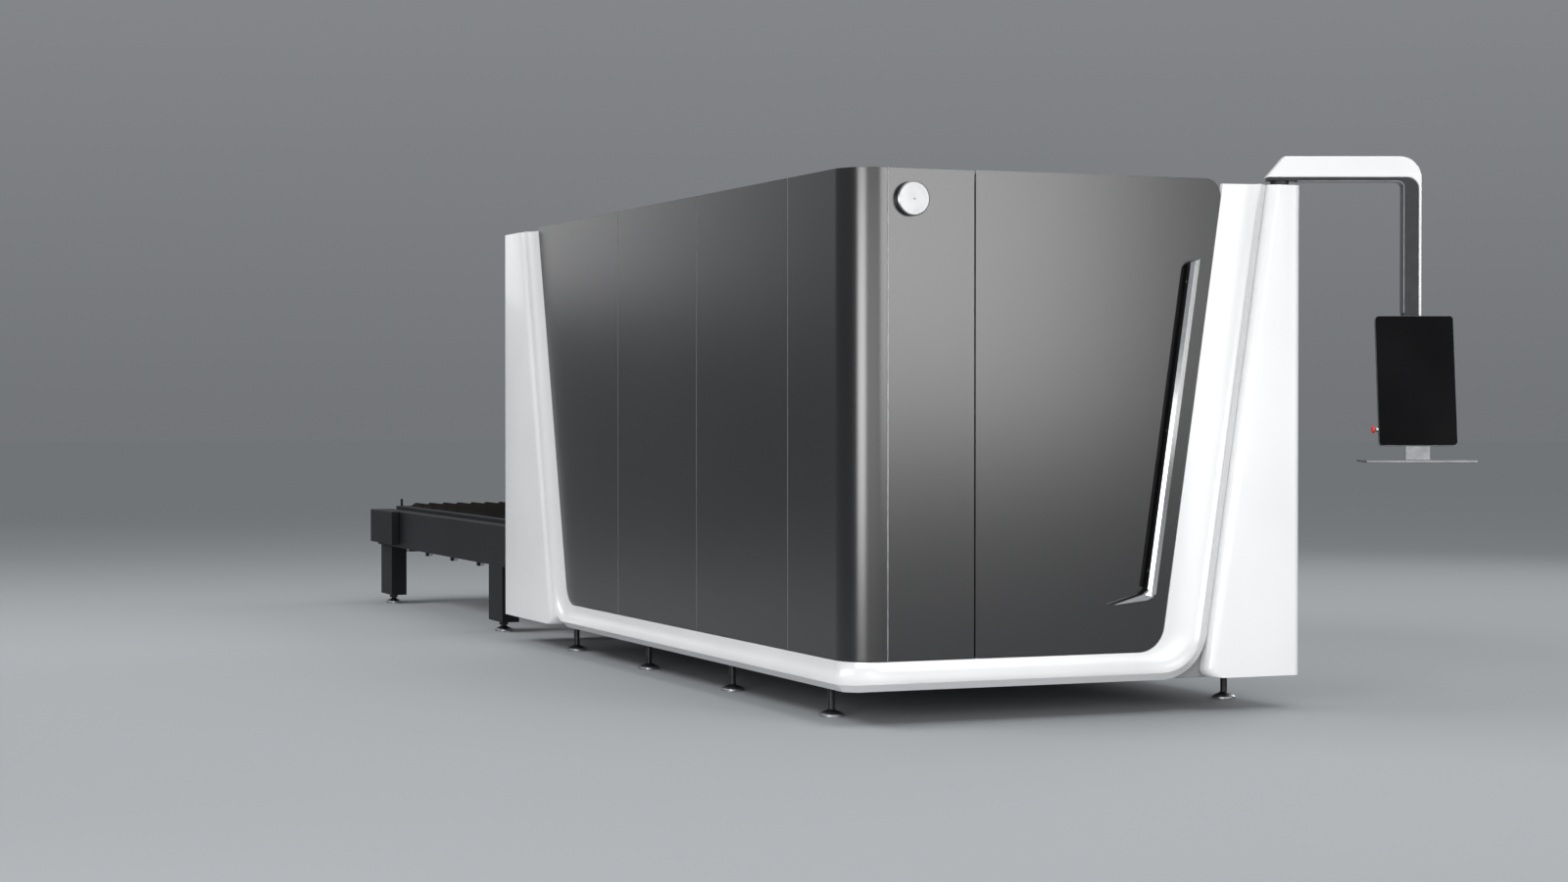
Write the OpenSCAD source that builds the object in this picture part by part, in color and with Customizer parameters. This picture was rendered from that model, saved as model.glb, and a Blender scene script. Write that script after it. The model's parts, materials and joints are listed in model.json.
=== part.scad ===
// Enclosed fiber laser cutting machine with an exchange table and a swinging console.
// X runs across the machine, Y from the door end to the exchange table, Z up from the floor.

/* [Enclosure] */
// Width from the cradle's left lip to the right side
body_w = 2124; // [2040:1:2300]
// Length from the cradle's front lip to the rear wall
body_l = 4677; // [4500:1:5000]
// Height of the top edge of the dark panels
body_top = 2245; // [2100:1:2400]
// Height of the enclosure's underside above the floor
ground_gap = 145; // [120:1:170]
// How far the dark panels stand back from the lip
recess = 50; // [40:1:60]
// Depth of a folded panel
panel_depth = 20; // [18:0.5:24]
// Sheet thickness of the panels
sheet_t = 2.5; // [1.5:0.1:4]
// Gap between neighbouring panels
seam = 4; // [2:0.5:6]
// Gap at the door's pivot edge
pivot_seam = 6; // [5.5:0.1:8]
// Outer radius of the wrapped corner panel
corner_r = 150; // [100:1:180]
// How far the white pieces stay below the dark panels' top
white_drop = 20; // [12:1:30]
// Front edge of the first long side panel
side_seam_1 = 702; // [500:1:900]
// Width of the second long side panel, from seam to seam
side_seam_2 = 1099; // [900:1:1300]
// Width of the third long side panel at half height, from its seam to the post
side_seam_3 = 1057; // [850:1:1250]
// Seam between the corner panel and the fixed front panel
front_seam_1 = 216; // [205:1:240]
// Seam between the fixed front panel and the door
front_seam_2 = 605; // [560:1:660]

/* [Cradle] */
// Height of the cove above the crisp edge of the lip
cove_h = 84; // [70:1:100]
// Height of the slanted lip under the crisp edge
lip_h = 31; // [20:1:40]
// Chamfer of the rim at the front left corner
rim_chamfer = 60; // [40:1:80]
// Depth of the groove beside the posts
groove_d = 45; // [30:1:48]
// Lean of the front post from the vertical, in degrees
front_lean = 8.5; // [6:0.1:10]
// Inner edge of the front post at half height, from the right side
front_post_x = 504; // [484:1:544]
// Width of the front post's cove
front_cove_w = 156; // [120:1:160]
// Width of the groove beside the front post
front_groove_w = 52; // [40:1:60]
// Lean of the side post from the vertical, in degrees
side_lean = 14.3; // [11:0.1:15]
// Inner edge of the side post at half height, from the rear wall
side_post_y = 729; // [677:1:827]
// Width of the side post's cove
side_cove_w = 96; // [80:1:130]
// Width of the groove beside the side post
side_groove_w = 40; // [30:1:60]
// Radius where the rim turns up into a post, at its inner edge
turn_r_in = 120; // [90:1:140]
// Radius where the rim turns up into a post, at its crisp edge
turn_r_out = 190; // [160:1:220]
// Hairline joint between the rim and the post
cradle_joint = 0.5; // [0.3:0.1:0.9]
// Distance from the joint to the start of the turn
joint_in = 20; // [5:5:60]
// Height at which the posts' places are measured
post_ref_z = 1250; // [1200:1:1300]

/* [Covers] */
// Wall of the white end covers
cover_t = 6; // [4:0.5:8]
// Radius of the covers' upright outer edge
cover_r = 36; // [24:1:45]
// Radius of the covers' leaning inner edge
edge_r = 44; // [30:1:48]
// Gap between a cover and the groove beside the post
cover_gap = 0.5; // [0.3:0.1:0.9]
// Length of the rear right cover along the side
rear_cover_l = 300; // [200:1:400]
// Height of the pallet slot's lower edge
slot_z0 = 345; // [330:1:360]
// Height of the pallet slot's upper edge
slot_z1 = 770; // [740:1:800]
// Brush length at the pallet slot's upper edge
brush_l = 60; // [30:1:70]
// Radius of the exhaust collar's bore
exhaust_r = 125; // [100:1:150]
// Wall of the exhaust collar
exhaust_t = 4; // [3:0.5:6]
// Length of the exhaust collar outside the panel
exhaust_l = 90; // [60:1:120]

/* [Door] */
// Radius of the door's top corner
door_top_r = 70; // [40:1:100]
// Distance of the pivot axis from the door's edge
pivot_in = 9; // [8:0.5:10]
// Radius of the pivot pins
pivot_r = 4; // [3:0.5:5]
// Radial clearance of the pivot pins
pivot_fit = 0.05; // [0.02:0.01:0.1]
// How far the door's top flange sits below its skin
flange_drop = 18; // [16:1:24]
// Height of the handle's lower end
handle_z0 = 480; // [450:1:560]
// Length of the handle's bar
handle_l = 1410; // [1100:1:1450]
// Width of the handle's bar
handle_w = 40; // [30:1:50]
// Distance of the handle's bar from the door's slanted edge
handle_in = 78; // [60:1:110]
// Thickness of the handle's bar
handle_t = 14; // [10:1:18]
// Finger gap behind the handle's bar
handle_gap = 26; // [22:1:34]
// Length of the handle's blade
blade_l = 195; // [120:1:220]
// Radius of the round disc
disc_r = 70; // [50:1:80]
// Thickness of the round disc
disc_t = 30; // [15:1:35]
// Height of the round disc's centre
disc_z = 2121; // [2000:1:2140]

/* [Frame] */
// Thickness of the bed's side beams
bed_t = 100; // [80:1:110]
// Height of the bed's top face above the floor
bed_top = 745; // [735:1:760]
// Distance from the cradle's left lip to the bed's left face
bed_in = 130; // [115:1:140]
// Height of the sills and of the lowest cross members
sill_h = 115; // [100:1:125]
// Size of the uprights along the side
upright_w = 80; // [60:1:100]
// Height of the roof beams
roof_beam_h = 55; // [40:1:70]
// Number of base cross members
base_ties = 5; // [3:1:7]
// Height of a base cross member
base_tie_h = 80; // [60:1:100]
// Radius of the foot pads
foot_r = 52; // [40:1:60]
// Thickness of the foot pads
foot_t = 16; // [12:1:22]
// Radius of the foot studs
stud_r = 15; // [10:1:18]
// Distance of the first foot from the front lip
foot_y0 = 503; // [400:1:600]
// Distance between the first three pairs of feet
foot_pitch = 1130; // [1000:1:1200]
// Distance of the last feet from the bed's end
foot_y1 = 764; // [600:1:900]

/* [Exchange table] */
// Length of the table's side beams behind the bed
table_l = 3353; // [3300:1:3600]
// Height of the underside of the table's side beams
beam_z = 375; // [365:1:380]
// Height of the table's side beams
beam_h = 232; // [220:1:240]
// Size of a table leg along the table
leg_l = 276; // [200:1:300]
// Underside of the table legs above the floor
leg_z = 57; // [45:1:70]
// Distance from the bed's end to the first legs
leg_y1 = 625; // [550:1:700]
// Distance from the first legs to the rear legs
leg_span = 2506; // [2400:1:2540]
// Height of the cross ties
tie_h = 42; // [30:1:45]
// Length of the end boxes on the beams
end_box_l = 556; // [450:1:600]
// How far the end boxes stand proud of the beams
end_box_out = 50; // [30:1:60]
// Thickness of the end stop
stop_t = 40; // [30:1:50]

/* [Pallets] */
// Side clearance of a pallet in its track
pallet_gap = 8; // [5:0.5:10]
// Length of a pallet
pallet_l = 3060; // [2900:1:3100]
// Width of a pallet's rails
pallet_rail_w = 60; // [50:1:70]
// Height of a pallet's rails
pallet_rail_h = 98; // [80:1:98]
// Underside of the upper pallet above the floor
upper_z = 530; // [530:1:534]
// Height between the two pallet levels
level_pitch = 148; // [148:1:150]
// Slat pitch
slat_pitch = 70; // [50:1:120]
// Slat thickness
slat_t = 5; // [3:0.5:8]
// Height of the slats' teeth above the rails
slat_proud = 22; // [15:1:22]
// Pitch of the slats' teeth
tooth_pitch = 90; // [60:1:120]
// Depth of the slats' teeth
tooth_d = 26; // [15:1:30]
// Radius of the corner pegs
peg_r = 8; // [6:0.5:8]
// Height of the corner pegs
peg_h = 46; // [30:1:46]
// Travel of the exchange
exchange_l = 3850; // [3750:1:3900]
// Radius of the track rollers
roller_r = 23; // [20:0.5:23]
// Length of the track rollers
roller_l = 26; // [20:1:26]
// Distance between track rollers
roller_pitch = 900; // [700:1:1200]
// Running gap between a roller and a pallet
roller_gap = 0.3; // [0.2:0.1:0.5]

/* [Gantry] */
// Depth of the gantry beam along the bed
gantry_d = 240; // [200:1:280]
// Height of the gantry beam
gantry_h = 280; // [240:1:320]
// Height of the guide rails
rail_h = 25; // [20:1:30]
// Width of the guide rails
rail_w = 30; // [24:1:36]
// Height of the saddles between a rail and the beam
saddle_h = 55; // [50:1:70]
// Length of the saddles along the bed
saddle_l = 400; // [320:1:480]
// Running gap between a rail and what slides on it
slide_gap = 0.3; // [0.2:0.1:0.5]
// Distance from the rear wall to the parked gantry beam
gantry_back = 277; // [200:1:380]
// Travel of the gantry
gantry_travel = 2950; // [2500:1:3000]
// Width of the cutting carriage
carriage_w = 260; // [220:1:300]
// Depth of the cutting carriage
carriage_d = 110; // [90:1:130]
// Height of the cutting carriage
carriage_h = 520; // [460:1:560]
// Distance from the track's right side to the parked nozzle
carriage_in = 90; // [80:1:140]
// Side of the cutting head's body
head_w = 96; // [80:1:110]
// Height of the cutting head's body
head_h = 420; // [360:1:460]
// Height of the nozzle's tip above the floor, parked
nozzle_z = 705; // [690:1:720]

/* [Console] */
// Distance of the arm's pivot from the right side
arm_in = 49; // [42:1:55]
// Distance of the arm's pivot from the front lip
arm_y = 100; // [90:1:110]
// Angle of the arm from the X axis, in degrees
arm_angle = -22.35; // [-40:0.05:0]
// Distance from the arm's pivot to the upright bar
arm_reach = 557; // [500:1:620]
// Underside of the white arm shell above the front end cover
arm_z = 37; // [30:1:65]
// Height of the white arm shell
arm_h = 90; // [70:1:100]
// Depth of the arm
arm_d = 84; // [70:1:90]
// Length of the arm's slanted root end
arm_slope = 77; // [40:1:90]
// Distance from the arm's pivot to its root end
arm_tail = 62; // [55:1:70]
// Width of the arm's upright bar
bar_w = 61; // [50:1:66]
// Thickness of the white strip on the upright bar
strip_t = 12; // [8:1:16]
// Outer radius of the arm's bend
bend_r = 95; // [85:1:120]
// Thickness of the arm core under the shell
core_t = 14; // [10:1:18]
// Lower end of the upright bar above the floor
bar_z = 1420; // [1380:1:1460]
// Display width
display_w = 330; // [300:1:360]
// Display height
display_h = 556; // [500:1:600]
// Display thickness
display_t = 24; // [18:1:30]
// Thickness of the display's glass
glass_t = 4; // [3:0.5:6]
// Backward tilt of the display, in degrees
display_tilt = 9.5; // [5:0.5:12]
// Height of the display's lower edge
display_z = 1122; // [1110:1:1140]
// Radius of the display's corners
display_r = 16; // [8:1:24]
// Width of the shelf's bracket
bracket_w = 104; // [80:1:120]
// Thickness of the shelf and its bracket
shelf_t = 10; // [8:1:12]
// Shelf width
shelf_w = 466; // [400:1:500]
// Shelf depth
shelf_d = 210; // [180:1:240]
// Height of the shelf's underside
shelf_z = 1050; // [1040:1:1060]
// Radius of the emergency stop's button
stop_r = 16; // [14:0.5:18]
// Height of the emergency stop above the display's lower edge
stop_up = 70; // [50:1:90]
// Travel of the emergency stop's button
stop_travel = 5; // [3:0.5:6]

/* [Hidden] */
$fn = 48;
// Points on each quarter of the cove and on each turn of the cradle
cove_steps = 8;
turn_steps = 10;
corner_steps = 6;

// Planes of the enclosure
face_in = recess + panel_depth;
wrap_c = recess + corner_r;
crisp_z = ground_gap + lip_h;
cove_z = crisp_z + cove_h;
white_top = body_top - white_drop;
panel_z = cove_z + seam;
roof_top = white_top - white_drop;
roof_z = roof_top - panel_depth;
roof_beam_z = roof_z - roof_beam_h;
roof_seat = 10;
sill_top = ground_gap + sill_h;
// Inner radius of the covers' upright fold
cover_fold = cover_r - panel_depth;

// Places of the posts at half height, and of the long side's seams
front_ref = body_w - front_post_x;
side_ref = body_l - side_post_y;
seam_y3 = side_ref - side_seam_3;
seam_y2 = seam_y3 - side_seam_2;
// Bed, table and track
bed_front = face_in + 60;
bed_end = body_l - panel_depth;
bed_right = body_w - bed_in;
right_face = body_w - panel_depth;
track_left = bed_in + bed_t;
track_right = bed_right - bed_t;
table_end = bed_end + table_l;
beam_top = beam_z + beam_h;
leg_ys = [for (k = [0, 1]) bed_end + leg_y1 + k * leg_span];
foot_ys = concat([for (k = [0:2]) foot_y0 + k * foot_pitch], [bed_end - foot_y1]);
side_post_ys = [wrap_c, seam_y2 - upright_w / 2, seam_y3 - upright_w / 2, bed_end - upright_w];
hinge_post_x = front_seam_2 - upright_w / 2;
latch_post_x = front_ref + front_cove_w;
arm_post_x = bed_right + roof_seat;

// Pallets
pallet_x0 = track_left + pallet_gap;
pallet_x1 = track_right - pallet_gap;
outer_y0 = table_end - stop_t - pallet_l - 20;
inner_y0 = outer_y0 - exchange_l;
lower_z = upper_z - level_pitch;
slat_x0 = pallet_x0 + pallet_rail_w;
slat_x1 = pallet_x1 - pallet_rail_w;
slat_foot = 12;
slat_count = floor((pallet_l - 2 * pallet_rail_w - slat_t) / slat_pitch);
tooth_count = floor((slat_x1 - slat_x0) / tooth_pitch);
// Rollers along the bed, then between the table's legs; the first and last of these sit on the legs
bed_roller_ys = [for (y = [inner_y0 + 110:roller_pitch:bed_end - roller_r - 20]) y];
table_roller_y0 = leg_ys[0] + leg_l / 3;
table_roller_y1 = leg_ys[1] - leg_l / 3;
table_roller_ys = [for (k = [0:4]) table_roller_y0 + (table_roller_y1 - table_roller_y0) * k / 4];

// Gantry, carriage and head
rail_top = bed_top + rail_h;
saddle_z = rail_top + slide_gap;
gantry_z = saddle_z + saddle_h;
gantry_rear = body_l - gantry_back;
gantry_y = gantry_rear - gantry_d;
gantry_mid = gantry_rear - gantry_d / 2;
rail_over = 60;
beam_rail_t = 18;
carriage_y = gantry_y - beam_rail_t - slide_gap - carriage_d;
nozzle_x = track_right - carriage_in;
head_y = carriage_y - slide_gap - head_w;
nozzle_l = 70;
collar_l = 50;
head_z = nozzle_z + nozzle_l + collar_l;
carriage_z = gantry_z + 5;

// Door pivot axis
door_x0 = front_seam_2 + pivot_seam / 2;
pivot_x = door_x0 + pivot_in;
pivot_y = recess + panel_depth / 2;
pivot_block = 30;
door_flange_z = body_top - flange_drop;

// Console axes
arm_x = body_w - arm_in;
bar_x = arm_x + arm_reach * cos(arm_angle);
bar_y = arm_y + arm_reach * sin(arm_angle);
arm_base_r = 40;
arm_level = white_top + arm_z;
arm_base_h = arm_z - core_t;
hub_r = 34;
hub_h = 120;
core_d = arm_d - 12;
// The display stands clear of the bar at every turn of the console
bar_clear = norm([bar_w / 2 + strip_t, arm_d / 2]) + 6;
display_front = bar_clear + display_h * sin(display_tilt) + display_t / cos(display_tilt);
shelf_front = display_front + 70;
// The shelf's front corners set the model's extent to the right and to the front
function shelf_corner(side) = [
    bar_x + side * shelf_w / 2 * cos(arm_angle) + shelf_front * sin(arm_angle),
    bar_y + side * shelf_w / 2 * sin(arm_angle) - shelf_front * cos(arm_angle)
];
x_hi = shelf_corner(1)[0] - shelf_d * sin(arm_angle);
y_lo = shelf_corner(1)[1];
mid_x = x_hi / 2;
mid_y = (y_lo + table_end) / 2;

// Arc from a bottom line up into a line that leans outward, tangent to both
function turn(u, z, r, lean) = [
    for (i = [0:turn_steps])
        let (a = (90 - lean) * i / turn_steps)
        [u - r * tan((90 - lean) / 2) + r * sin(a), z + r - r * cos(a)]
];

// Points round a centre from one angle to another
function arc(c, r, a0, a1) = [
    for (i = [0:turn_steps])
        let (a = a0 + (a1 - a0) * i / turn_steps)
        [c[0] + r * cos(a), c[1] + r * sin(a)]
];

// Outline with an upright left edge and a leaning right edge, drawn in by an inset
function leaning_outline(u0, z0, z1, u_ref, lean, r_foot, r_top, in = 0) =
    let (
        u = u_ref - in / cos(lean),
        za = z0 + in,
        zb = z1 - in,
        foot_u = u + (za - post_ref_z) * tan(lean),
        top_u = u + (zb - post_ref_z) * tan(lean),
        rt = r_top - in,
        top_c = [top_u - rt * tan((90 + lean) / 2), zb - rt]
    )
    concat([[u0 + in, za]], turn(foot_u, za, r_foot - in, lean), arc(top_c, rt, -lean, 90), [[u0 + in, zb]]);

// Outline of an end cover at a depth: leaning inner edge, upright outer edge, both drawn in where they round
function cover_outline(u_ref, u1, lean, r_foot, in_left, in_right, in) =
    let (
        u = u_ref + in_left / cos(lean),
        z0 = ground_gap + in,
        z1 = white_top - in,
        rf = r_foot - in,
        foot_c = [u + (z0 - post_ref_z) * tan(lean) + rf * tan((90 + lean) / 2), z0 + rf],
        top_u = u + (z1 - post_ref_z) * tan(lean)
    )
    concat([[u1 - in_right, z0], [u1 - in_right, z1], [top_u, z1]], arc(foot_c, rf, 180 - lean, 270));

// How far a rounded edge is drawn in at a depth
function round_in(depth, r) = depth < r ? r - sqrt(r * r - pow(r - depth, 2)) : 0;

// Sections of an end cover from its face to its back, drawn in all round by the wall for its hollow
function cover_sections(u_ref, u1, lean, r_foot, in) =
    let (
        top_w = u1 - u_ref - (white_top - post_ref_z) * tan(lean),
        r = min(edge_r, top_w / 3) - in,
        r_outer = min(cover_r, top_w / 3) - in,
        last = in > 0 ? face_in + 1 : face_in,
        depths = concat([for (k = [0:cove_steps]) r * (1 - cos(90 * k / cove_steps))], [last - in])
    )
    [for (d = depths)
        let (
            in_left = in + round_in(d, r),
            in_right = in + round_in(d, r_outer)
        )
        [for (p = cover_outline(u_ref, u1, lean, r_foot, in_left, in_right, in)) [p[0], in + d, p[1]]]];

// A block between two corners
module block(a, b) {
    translate(a) cube(b - a);
}

// Turns the front face's drawing, u across and z up, into a slab behind the front plane
module front_slab(y0, y1) {
    translate([0, y1, 0]) rotate([90, 0, 0]) linear_extrude(y1 - y0) children();
}

// The long side's drawing is the front's with X and Y exchanged
module on_side() {
    mirror([1, -1, 0]) children();
}

// Folded panel with its flanges turned inward, behind the front plane
module front_tray(u0, u1, z0, z1) {
    difference() {
        block([u0, recess, z0], [u1, face_in, z1]);
        block([u0 + sheet_t, recess + sheet_t, z0 + sheet_t], [u1 - sheet_t, face_in + 1, z1 - sheet_t]);
    }
}

// Folded panel that wraps an upright corner, with legs along both faces
module wrap_tray(centre, r, leg_x, leg_y, z0, z1) {
    difference() {
        translate([0, 0, z0]) linear_extrude(z1 - z0) wrap_strip(centre, r, r - panel_depth, leg_x, leg_y);
        translate([0, 0, z0 + sheet_t]) linear_extrude(z1 - z0 - 2 * sheet_t)
            wrap_strip(centre, r - sheet_t, r - panel_depth - 1, leg_x - sheet_t, leg_y - sheet_t);
    }
}

module wrap_strip(centre, r_out, r_in, leg_x, leg_y) {
    translate([centre, centre]) {
        intersection() {
            difference() {
                circle(r_out, $fn = 96);
                circle(r_in, $fn = 96);
            }
            translate([-r_out, -r_out]) square(r_out);
        }
        translate([0, -r_out]) square([leg_x - centre, r_out - r_in]);
        translate([-r_out, 0]) square([r_out - r_in, leg_y - centre]);
    }
}

// The cradle: a cove swept along the rim, round the turn and up the leaning post
function lerp(a, b, t) = a + (b - a) * t;

// Corner of the rim at a given inset, from the mitre round the chamfer to the straight run
function rim_corner(t, in) =
    let (
        mitre = (rim_chamfer + in * sqrt(2)) / 2,
        knee = rim_chamfer + in * (sqrt(2) - 1)
    )
    t < 0.5 ? lerp([mitre, mitre], [knee, in], 2 * t) : lerp([knee, in], [wrap_c, in], 2 * t - 1);

// One section of the cradle: inner edge, hollow, crisp edge, lip and back
function section(p, c, q, r, b1, b2) = concat(
    [for (k = [0:cove_steps]) c + (p - c) * cos(90 * k / cove_steps) + (q - c) * sin(90 * k / cove_steps)],
    [r, b1, b2]
);

function corner_section(t) =
    let (
        dir = [cos(45 + 45 * t), sin(45 + 45 * t)],
        p = [wrap_c, wrap_c] - corner_r * dir,
        b = [wrap_c, wrap_c] - (corner_r - panel_depth) * dir,
        q = rim_corner(t, 0),
        r = rim_corner(t, lip_h)
    )
    section([p[0], p[1], cove_z], [q[0], q[1], cove_z], [q[0], q[1], crisp_z], [r[0], r[1], ground_gap],
        [b[0], b[1], ground_gap], [b[0], b[1], cove_z]);

// A section on the face, from its inner point, crisp point and the way that the lip faces
function face_section(p, q, out, lip_w, lip_d) =
    let (r = q + lip_w * out)
    section([p[0], recess, p[1]], [p[0], 0, p[1]], [q[0], 0, q[1]], [r[0], lip_d, r[1]],
        [r[0], face_in, r[1]], [p[0], face_in, p[1]]);

function inner_turn(u_ref, lean) =
    turn(u_ref + (cove_z - post_ref_z) * tan(lean), cove_z, turn_r_in, lean);

function crisp_turn(u_ref, lean, cove_w) =
    turn(u_ref + cove_w + (crisp_z - post_ref_z) * tan(lean), crisp_z, turn_r_out, lean);

// Place of the joint between the rim and the post, just before the turn
function joint_u(u_ref, lean, cove_w) =
    min(inner_turn(u_ref, lean)[0][0], crisp_turn(u_ref, lean, cove_w)[0][0]) - joint_in;

function rim_section(u) = face_section([u, cove_z], [u, crisp_z], [0, -1], lip_h, lip_h);

// Rim moulding: round the corner and along the straight run to the joint
function rim_sections(u_ref, lean, cove_w) = concat(
    [for (j = [0:corner_steps]) corner_section(j / corner_steps)],
    [rim_section(joint_u(u_ref, lean, cove_w) - cradle_joint)]
);

// Post moulding: from the joint round the turn and up the leaning line
function post_sections(u_ref, lean, cove_w, groove_w) =
    let (
        top_in = u_ref + (white_top - post_ref_z) * tan(lean),
        ps = inner_turn(u_ref, lean),
        qs = crisp_turn(u_ref, lean, cove_w)
    )
    concat(
        [rim_section(joint_u(u_ref, lean, cove_w))],
        [for (i = [0:turn_steps])
            let (
                t = i / turn_steps,
                a = (90 - lean) * t
            )
            face_section(ps[i], qs[i], [sin(a), -cos(a)], lerp(lip_h, groove_w * cos(lean), t),
                lerp(lip_h, groove_d, t))],
        [face_section([top_in, white_top], [top_in + cove_w, white_top], [1, 0], groove_w, groove_d)]
    );

module sweep(rings) {
    m = len(rings[0]);
    n = len(rings);
    sides = [for (i = [0:n - 2]) for (j = [0:m - 1])
        let (k = (j + 1) % m)
        each [[i * m + j, i * m + k, (i + 1) * m + j], [i * m + k, (i + 1) * m + k, (i + 1) * m + j]]];
    // Each end is a fan from the lower back corner, which sees the whole hollow
    hub = m - 2;
    fan = [for (j = [1:m - 2]) [hub, (hub + j) % m, (hub + j + 1) % m]];
    first = [for (f = fan) [f[2], f[1], f[0]]];
    last = [for (f = fan) [for (j = f) (n - 1) * m + j]];
    polyhedron([for (r = rings) each r], concat(sides, first, last));
}

// Everything is drawn from the cradle's front left lip and moved to the middle of the footprint
module placed() {
    translate([-mid_x, -mid_y, 0]) children();
}

// The console hangs in the arm's own frame: origin at an upright axis, X along the arm
module at_arm() {
    placed() translate([arm_x, arm_y, 0]) rotate(arm_angle) children();
}

module at_bar() {
    placed() translate([bar_x, bar_y, 0]) rotate(arm_angle) children();
}

// Enclosure

module foot(x, y, top) {
    translate([x, y, 0]) {
        rotate_extrude() polygon([[0, 0], [foot_r, 0], [foot_r, foot_t * 0.6], [foot_r - 8, foot_t],
            [stud_r * 1.6, foot_t + 8], [stud_r, foot_t + 14], [stud_r, top], [0, top]]);
        translate([0, 0, top - 22]) cylinder(h = 22, r = stud_r * 1.75, $fn = 6);
    }
}

module levelling_feet() {
    color("dimgray") placed() for (y = foot_ys) {
        foot(bed_in + 20 + stud_r, y, ground_gap);
        foot((bed_right + right_face) / 2, y, ground_gap);
    }
}

module table_feet() {
    color("dimgray") placed() for (y = leg_ys) {
        foot(bed_in + bed_t / 2, y, leg_z);
        foot(bed_right - bed_t / 2, y, leg_z);
    }
}

module bed_beams() {
    color("dimgray") placed() {
        block([bed_in, bed_front, ground_gap], [track_left, bed_end, bed_top]);
        block([track_right, bed_front, ground_gap], [bed_right, bed_end, bed_top]);
    }
}

module sills() {
    color("dimgray") placed() {
        block([face_in, wrap_c, ground_gap], [bed_in, bed_end, sill_top]);
        block([bed_right, face_in, ground_gap], [right_face, bed_end - cover_fold, sill_top]);
    }
}

module base_cross_members() {
    pitch = (bed_end - bed_front - upright_w) / (base_ties - 1);
    color("dimgray") placed() {
        block([wrap_c, face_in, ground_gap], [bed_right, bed_front, sill_top]);
        for (k = [1:base_ties - 1]) {
            y = bed_front + k * pitch;
            block([track_left, y, ground_gap], [track_right, y + upright_w, ground_gap + base_tie_h]);
        }
    }
}

module uprights() {
    color("gray") placed() for (y = side_post_ys) {
        block([face_in, y, sill_top], [bed_in, y + upright_w, roof_beam_z]);
        block([bed_right, y, sill_top], [right_face, y + upright_w, roof_beam_z]);
    }
}

// Corner post, hinge post, latch post and the taller post that carries the console's arm
module front_uprights() {
    color("gray") placed() {
        block([wrap_c, face_in, sill_top], [wrap_c + upright_w, bed_front, roof_beam_z]);
        block([hinge_post_x, face_in + pivot_seam, sill_top],
            [hinge_post_x + upright_w, bed_front, roof_beam_z]);
        block([latch_post_x, face_in, sill_top], [latch_post_x + upright_w, bed_front, roof_beam_z]);
        block([arm_post_x, face_in, sill_top], [right_face, bed_front, white_top]);
    }
}

module roof_rails() {
    color("gray") placed() {
        block([face_in, wrap_c, roof_beam_z], [bed_in, bed_end, roof_z]);
        block([bed_right, wrap_c, roof_beam_z], [right_face, bed_end, roof_z]);
    }
}

module roof_cross_members() {
    color("gray") placed() {
        block([wrap_c, face_in + pivot_seam, roof_beam_z], [arm_post_x, bed_front, roof_z]);
        for (k = [1:3])
            block([bed_in, side_post_ys[k], roof_beam_z], [bed_right, side_post_ys[k] + upright_w, roof_z]);
    }
}

module front_cradle() {
    color("white") placed() {
        sweep(rim_sections(front_ref, front_lean, front_cove_w));
        sweep(post_sections(front_ref, front_lean, front_cove_w, front_groove_w));
    }
}

module side_cradle() {
    color("white") placed() on_side() {
        sweep(rim_sections(side_ref, side_lean, side_cove_w));
        sweep(post_sections(side_ref, side_lean, side_cove_w, side_groove_w));
    }
}

module corner_panel() {
    color("#202124") placed()
        wrap_tray(wrap_c, corner_r, front_seam_1 - seam / 2, side_seam_1 - seam / 2, panel_z, body_top);
}

module front_panel() {
    color("#202124") placed()
        front_tray(front_seam_1 + seam / 2, front_seam_2 - pivot_seam / 2, panel_z, body_top);
}

module side_panel_1() {
    color("#202124") placed() on_side()
        front_tray(side_seam_1 + seam / 2, seam_y2 - seam / 2, panel_z, body_top);
}

module side_panel_2() {
    color("#202124") placed() on_side()
        front_tray(seam_y2 + seam / 2, seam_y3 - seam / 2, panel_z, body_top);
}

module side_panel_3() {
    small_r = 12;
    u0 = seam_y3 + seam / 2;
    u_ref = side_ref - seam / cos(side_lean);
    r_foot = turn_r_in - seam;
    color("#202124") placed() on_side() difference() {
        front_slab(recess, face_in)
            polygon(leaning_outline(u0, panel_z, body_top, u_ref, side_lean, r_foot, small_r));
        front_slab(recess + sheet_t, face_in + 1)
            polygon(leaning_outline(u0, panel_z, body_top, u_ref, side_lean, r_foot, small_r, sheet_t));
    }
}

// End cover: a deep tray with rounded leaning and upright edges
module end_cover(u_ref, u1, lean) {
    foot_r_in = 40;
    difference() {
        sweep(cover_sections(u_ref, u1, lean, foot_r_in, 0));
        sweep(cover_sections(u_ref, u1, lean, foot_r_in, cover_t));
    }
}

module front_end_cover() {
    color("white") placed()
        end_cover(front_ref + front_cove_w + front_groove_w + cover_gap, body_w, front_lean);
}

module rear_end_cover() {
    color("white") placed() on_side()
        end_cover(side_ref + side_cove_w + side_groove_w + cover_gap, body_l, side_lean);
}

module rear_corner_panel() {
    color("white") placed() translate([body_w, body_l, 0]) rotate(180)
        wrap_tray(cover_r, cover_r, face_in, rear_cover_l, ground_gap, white_top);
}

// Right side panel number k of three, seen from outside
right_y0 = face_in + seam;
right_pitch = (body_l - rear_cover_l - right_y0) / 3;
exhaust_y = right_y0 + 2.5 * right_pitch;
exhaust_z = 2 * slot_z0;

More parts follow.
